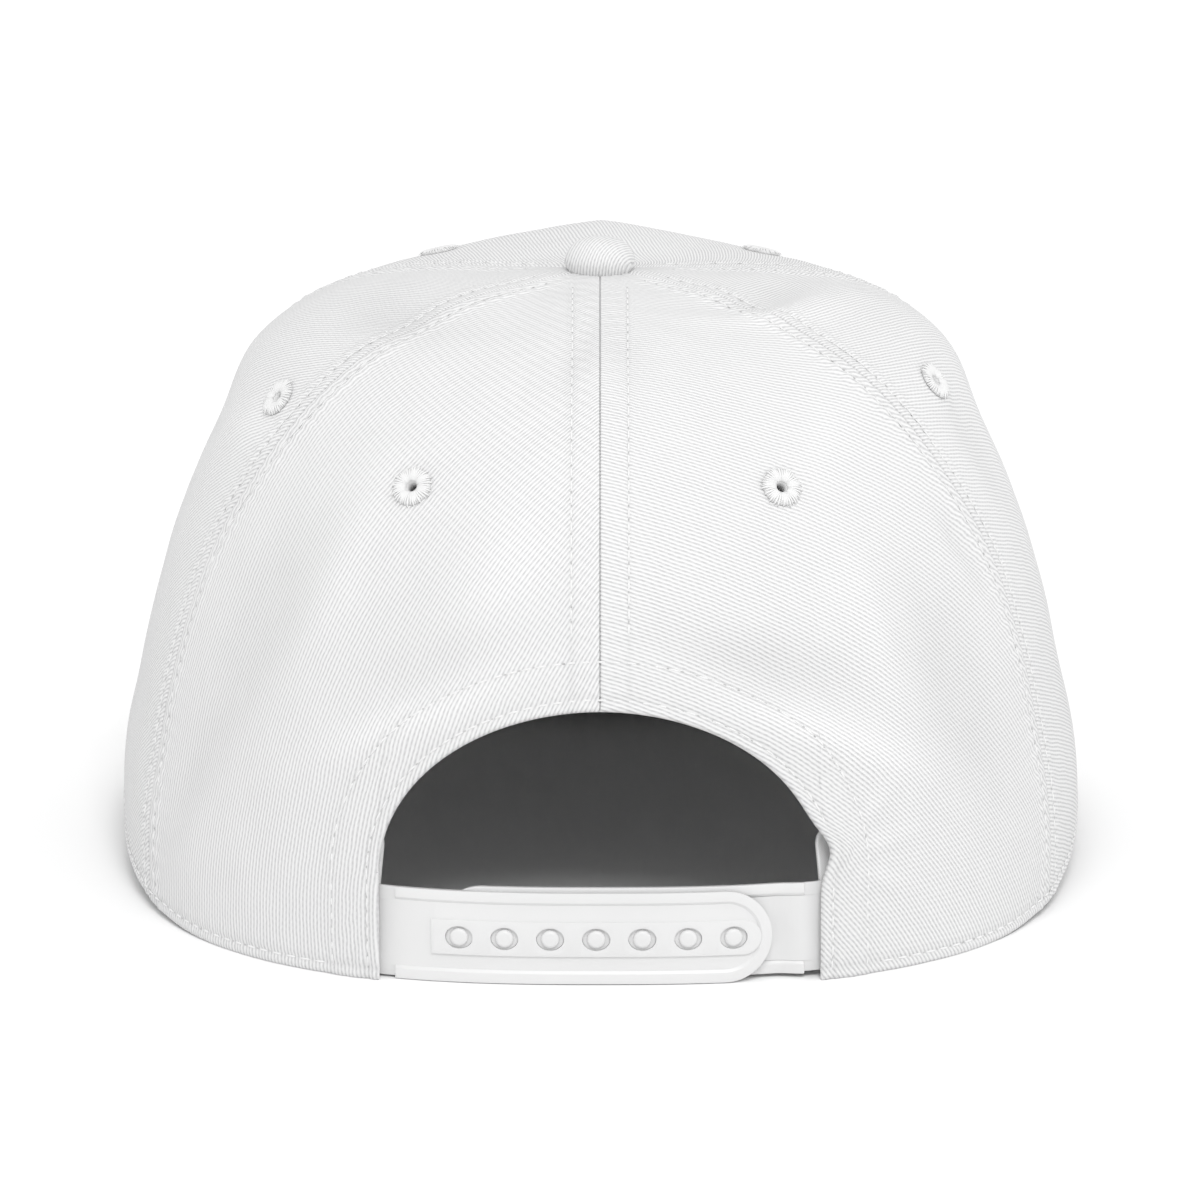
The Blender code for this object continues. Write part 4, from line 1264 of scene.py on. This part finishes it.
def sewRows(name, rows, pitch=stitch["pitch"]):  # rows: points and outward directions
    bead, faces = threadPiece(stitch["sides"], stitch["rings"])
    dot, dotFaces = threadPiece(6, 4)
    beads, dots = [], []
    for points, outs in rows:
        length = lengthAlong(points)
        spots = np.arange(pitch / 2, length[-1] - pitch / 4, pitch)
        middle, out = readRow(length, spots, points), readRow(length, spots, outs)
        along = readRow(length, spots + 0.3 * pitch, points) - readRow(length, spots - 0.3 * pitch, points)
        along /= np.linalg.norm(along, axis=1, keepdims=True)
        side = np.cross(out, along)
        side /= np.linalg.norm(side, axis=1, keepdims=True)

        def place(shape, centre, reach, width, lift):
            lengthwise = along[:, None] * (shape[:, 0] * reach)[None, :, None]
            sideways = side[:, None] * (shape[:, 1] * width)[None, :, None]
            return centre[:, None] + lengthwise + sideways + out[:, None] * lift[None, :, None]

        lift = bead[:, 2] * stitch["height"] / 2 + stitch["lift"] - stitch["bow"] * bead[:, 0] ** 2
        beads.append(place(bead, middle, stitch["length"] / 2, stitch["width"] / 2, lift))
        # painted shade: dark flat beads between the stitches stand for the shadow in the needle holes
        holes = readRow(length, spots + pitch / 2, points)
        lift = dot[:, 2] * stitch["holeHeight"] / 2
        dots.append(place(dot, holes, stitch["holeLength"] / 2, stitch["holeWidth"] / 2, lift))
    dress(copiesMesh(name, np.concatenate(beads), faces), looks["seamThread"], "thread")
    dress(copiesMesh(name + "_holes", np.concatenate(dots), dotFaces), looks["needleHoleShade"], "thread")


def besideSeam(seamAngle, distance, low, high):  # a row beside a seam, on the side of the distance's sign
    levels = np.linspace(low, high, 120)
    angles = seamAngle(levels)
    return clothRow(angles + distance / ringRadius(angles, levels), levels)


def openingRow(distance):  # a row round the opening, from rim to rim
    turns = np.linspace(-math.pi / 2, math.pi / 2, 90)
    halfWidth, archHeight = opening["halfWidth"] + distance, opening["archHeight"] + distance
    side = np.linspace(1.5 * mm, opening["sideHeight"], 24)[:-1]
    x = np.concatenate([-halfWidth + 0 * side, halfWidth * np.sin(turns), halfWidth + 0 * side])
    z = np.concatenate([side, opening["sideHeight"] + archHeight * np.cos(turns), side[::-1]])
    return clothRow(*backPlace(x, z))


def peakRow(distance, above):  # a row at a distance from the peak's edge, on its top or underneath
    across = np.linspace(-0.985, 0.985, 400)
    depth = np.linalg.norm(peakTop(across, np.zeros(400)) - peakTop(across, np.ones(400)), axis=1)
    inside = depth > distance + 2 * mm
    points = peakTop(across[inside], 1 - distance / depth[inside])
    clear = 0.02 * mm
    points[:, 2] += clear if above else -peak["thickness"] - clear
    return points, np.tile((0.0, 0.0, 1.0 if above else -1.0), (len(points), 1))


seamRows = []
for sign in (1, -1):
    seamRows.append(besideSeam(lambda level: 0 * level, sign * seamRelief["rowDistance"], 0.40, 0.955))
    for which in (0, 1):
        for side in (-1, 1):
            seamRows.append(besideSeam(lambda level: sign * seamAngles(level)[which],
                                       side * seamRelief["sideRowDistance"], 0.012, 0.965))
sewRows("seam_stitches", seamRows)
sewRows("opening_stitches", [openingRow(row) for row in hemRelief["rows"]])
around = np.radians(np.linspace(27.5, 332.5, 700))
rimLevels = rimRelief["row"] / risePerLevel + 0 * around
sewRows("rim_stitches", [clothRow(around, rimLevels)], stitch["rimPitch"])
sewRows("peak_stitches", [peakRow(row, above) for row in peakRows for above in (True, False)])
print("rows sewn")

eyelet = {"diameter": 8.0 * mm, "hole": 2.2 * mm, "rise": 0.75 * mm, "threads": 46,
          "threadWidth": 0.52 * mm,
          # outline of the ring under the threads in mm, from its outer edge over the top to the inside
          "profile": [(3.75, -0.05), (3.35, 0.45), (2.50, 0.66), (1.60, 0.50), (0.98, 0.05),
                      (0.98, -1.20), (1.05, -2.10), (1.60, -2.50), (2.50, -2.55), (3.20, -2.20),
                      (3.15, -1.85), (1.95, -1.80), (1.85, -0.40), (3.20, -0.30)]}


def eyeletFrame(angle, level):
    out = Vector(crownOut(np.array(angle), np.array(level)))
    turn = Vector((0, 0, 1)).rotation_difference(out).to_matrix().to_4x4()
    return Matrix.Translation(Vector(crownPoint(angle, level))) @ turn


def makeEyelet(name, angleDegrees, level):
    frameMatrix = eyeletFrame(math.radians(angleDegrees), level)
    hole, outer = eyelet["hole"] / 2, eyelet["diameter"] / 2
    bead, faces = threadPiece(6, 9)
    shapes = []
    seedShift = sum(ord(letter) for letter in name)
    for index in range(eyelet["threads"]):
        turn = 2 * math.pi * (index + 0.25 * math.sin(5.3 * index + seedShift)) / eyelet["threads"]
        # the threads end unevenly
        end = outer + 0.22 * mm * math.sin(2.4 * index + seedShift) + 0.12 * mm * math.sin(7.1 * index)
        start = hole - 0.1 * mm
        share = (bead[:, 0] + 1) / 2
        radius = start + (end - start) * share
        arch = np.sqrt(np.clip(1 - (2 * share - 1) ** 2, 0, 1)) * eyelet["rise"]
        width = eyelet["threadWidth"] / 2 * (0.55 + 0.45 * radius / outer)
        sideways = bead[:, 1] * width
        height = arch - 0.05 * mm + bead[:, 2] * eyelet["threadWidth"] / 2 * 0.6
        x = radius * math.cos(turn) - sideways * math.sin(turn)
        y = radius * math.sin(turn) + sideways * math.cos(turn)
        shapes.append(np.stack([x, y, height], -1))
    piece = copiesMesh("eyelet_threads_" + name, np.stack(shapes), faces)
    deselectAll()
    profile = np.array(eyelet["profile"]) * mm
    bpy.ops.mesh.primitive_torus_add(major_segments=48, minor_segments=len(profile), major_radius=1,
                                     minor_radius=0.5)
    ring = bpy.context.object
    flat = readPoints(ring.data)
    turn = np.arctan2(flat[:, 1], flat[:, 0])
    minor = np.arctan2(flat[:, 2], np.hypot(flat[:, 0], flat[:, 1]) - 1)
    step = np.rint(minor / (2 * math.pi) * len(profile)).astype(int) % len(profile)
    radius, height = profile[step, 0], profile[step, 1]
    writePoints(ring.data, np.stack([radius * np.cos(turn), radius * np.sin(turn), height], -1))
    ring.data.shade_smooth()
    makeActive(piece)
    ring.select_set(True)
    bpy.ops.object.join()
    piece.data.transform(frameMatrix)
    dress(piece, looks["eyeletThread"], "thread", "eyelet_" + name)


for name, (angleDegrees, level) in eyelets.items():
    makeEyelet(name, angleDegrees, level)
print("eyelets worked")

for name, places, middleAngle, lineMiddle, (width, length, share) in panelPlan:
    share * width * length

# floor, light and camera
stage = {"halfSize": 8.0, "floorColor": 0.90, "sky": 0.725}
# name, strength, height and turn to the picture's right in degrees, spread in degrees
lamps = [("key", 1.50, 50, 8, 26), ("fill_left", 0.44, 24, -80, 40), ("fill_right", 0.54, 24, 78, 40)]
deselectAll()
bpy.ops.mesh.primitive_plane_add(size=2 * stage["halfSize"], location=(0, 0, 0))
floor = bpy.context.object
floor.name = "floor"
floorLook, start, shader = newLook("floor", {"Roughness": 1.0, "Specular IOR Level": 0.0})
shader.inputs["Base Color"].default_value = (stage["floorColor"],) * 3 + (1,)
floor.data.materials.append(floorLook)

world = bpy.data.worlds.new("studio")
bpy.context.scene.world = world
world.use_nodes = True
world.node_tree.nodes["Background"].inputs["Color"].default_value = (1, 1, 1, 1)
world.node_tree.nodes["Background"].inputs["Strength"].default_value = stage["sky"]

for name, strength, height, turn, spread in lamps:
    lampData = bpy.data.lights.new(name, "SUN")
    lampData.energy = strength
    lampData.angle = math.radians(spread)
    lamp = bpy.data.objects.new(name, lampData)
    bpy.context.scene.collection.objects.link(lamp)
    height, turn = math.radians(height), math.radians(turn)
    level = math.cos(height)
    towards = Vector((-math.sin(turn) * level, math.cos(turn) * level, math.sin(height)))
    lamp.rotation_euler = (-towards).to_track_quat("-Z", "Y").to_euler()

photo = {"elevation": math.radians(15), "distance": 1.0, "targetZ": 50 * mm, "lens": 150.9}
target = Vector((0, axisY, photo["targetZ"]))
back = Vector((0, math.cos(photo["elevation"]), math.sin(photo["elevation"])))
cameraData = bpy.data.cameras.new("camera")
cameraData.lens = photo["lens"]
cameraData.sensor_width = 36
camera = bpy.data.objects.new("camera", cameraData)
bpy.context.scene.collection.objects.link(camera)
camera.location = target + back * photo["distance"]
camera.rotation_euler = (-back).to_track_quat("-Z", "Y").to_euler()
bpy.context.scene.camera = camera
bpy.context.scene.view_settings.view_transform = "Standard"
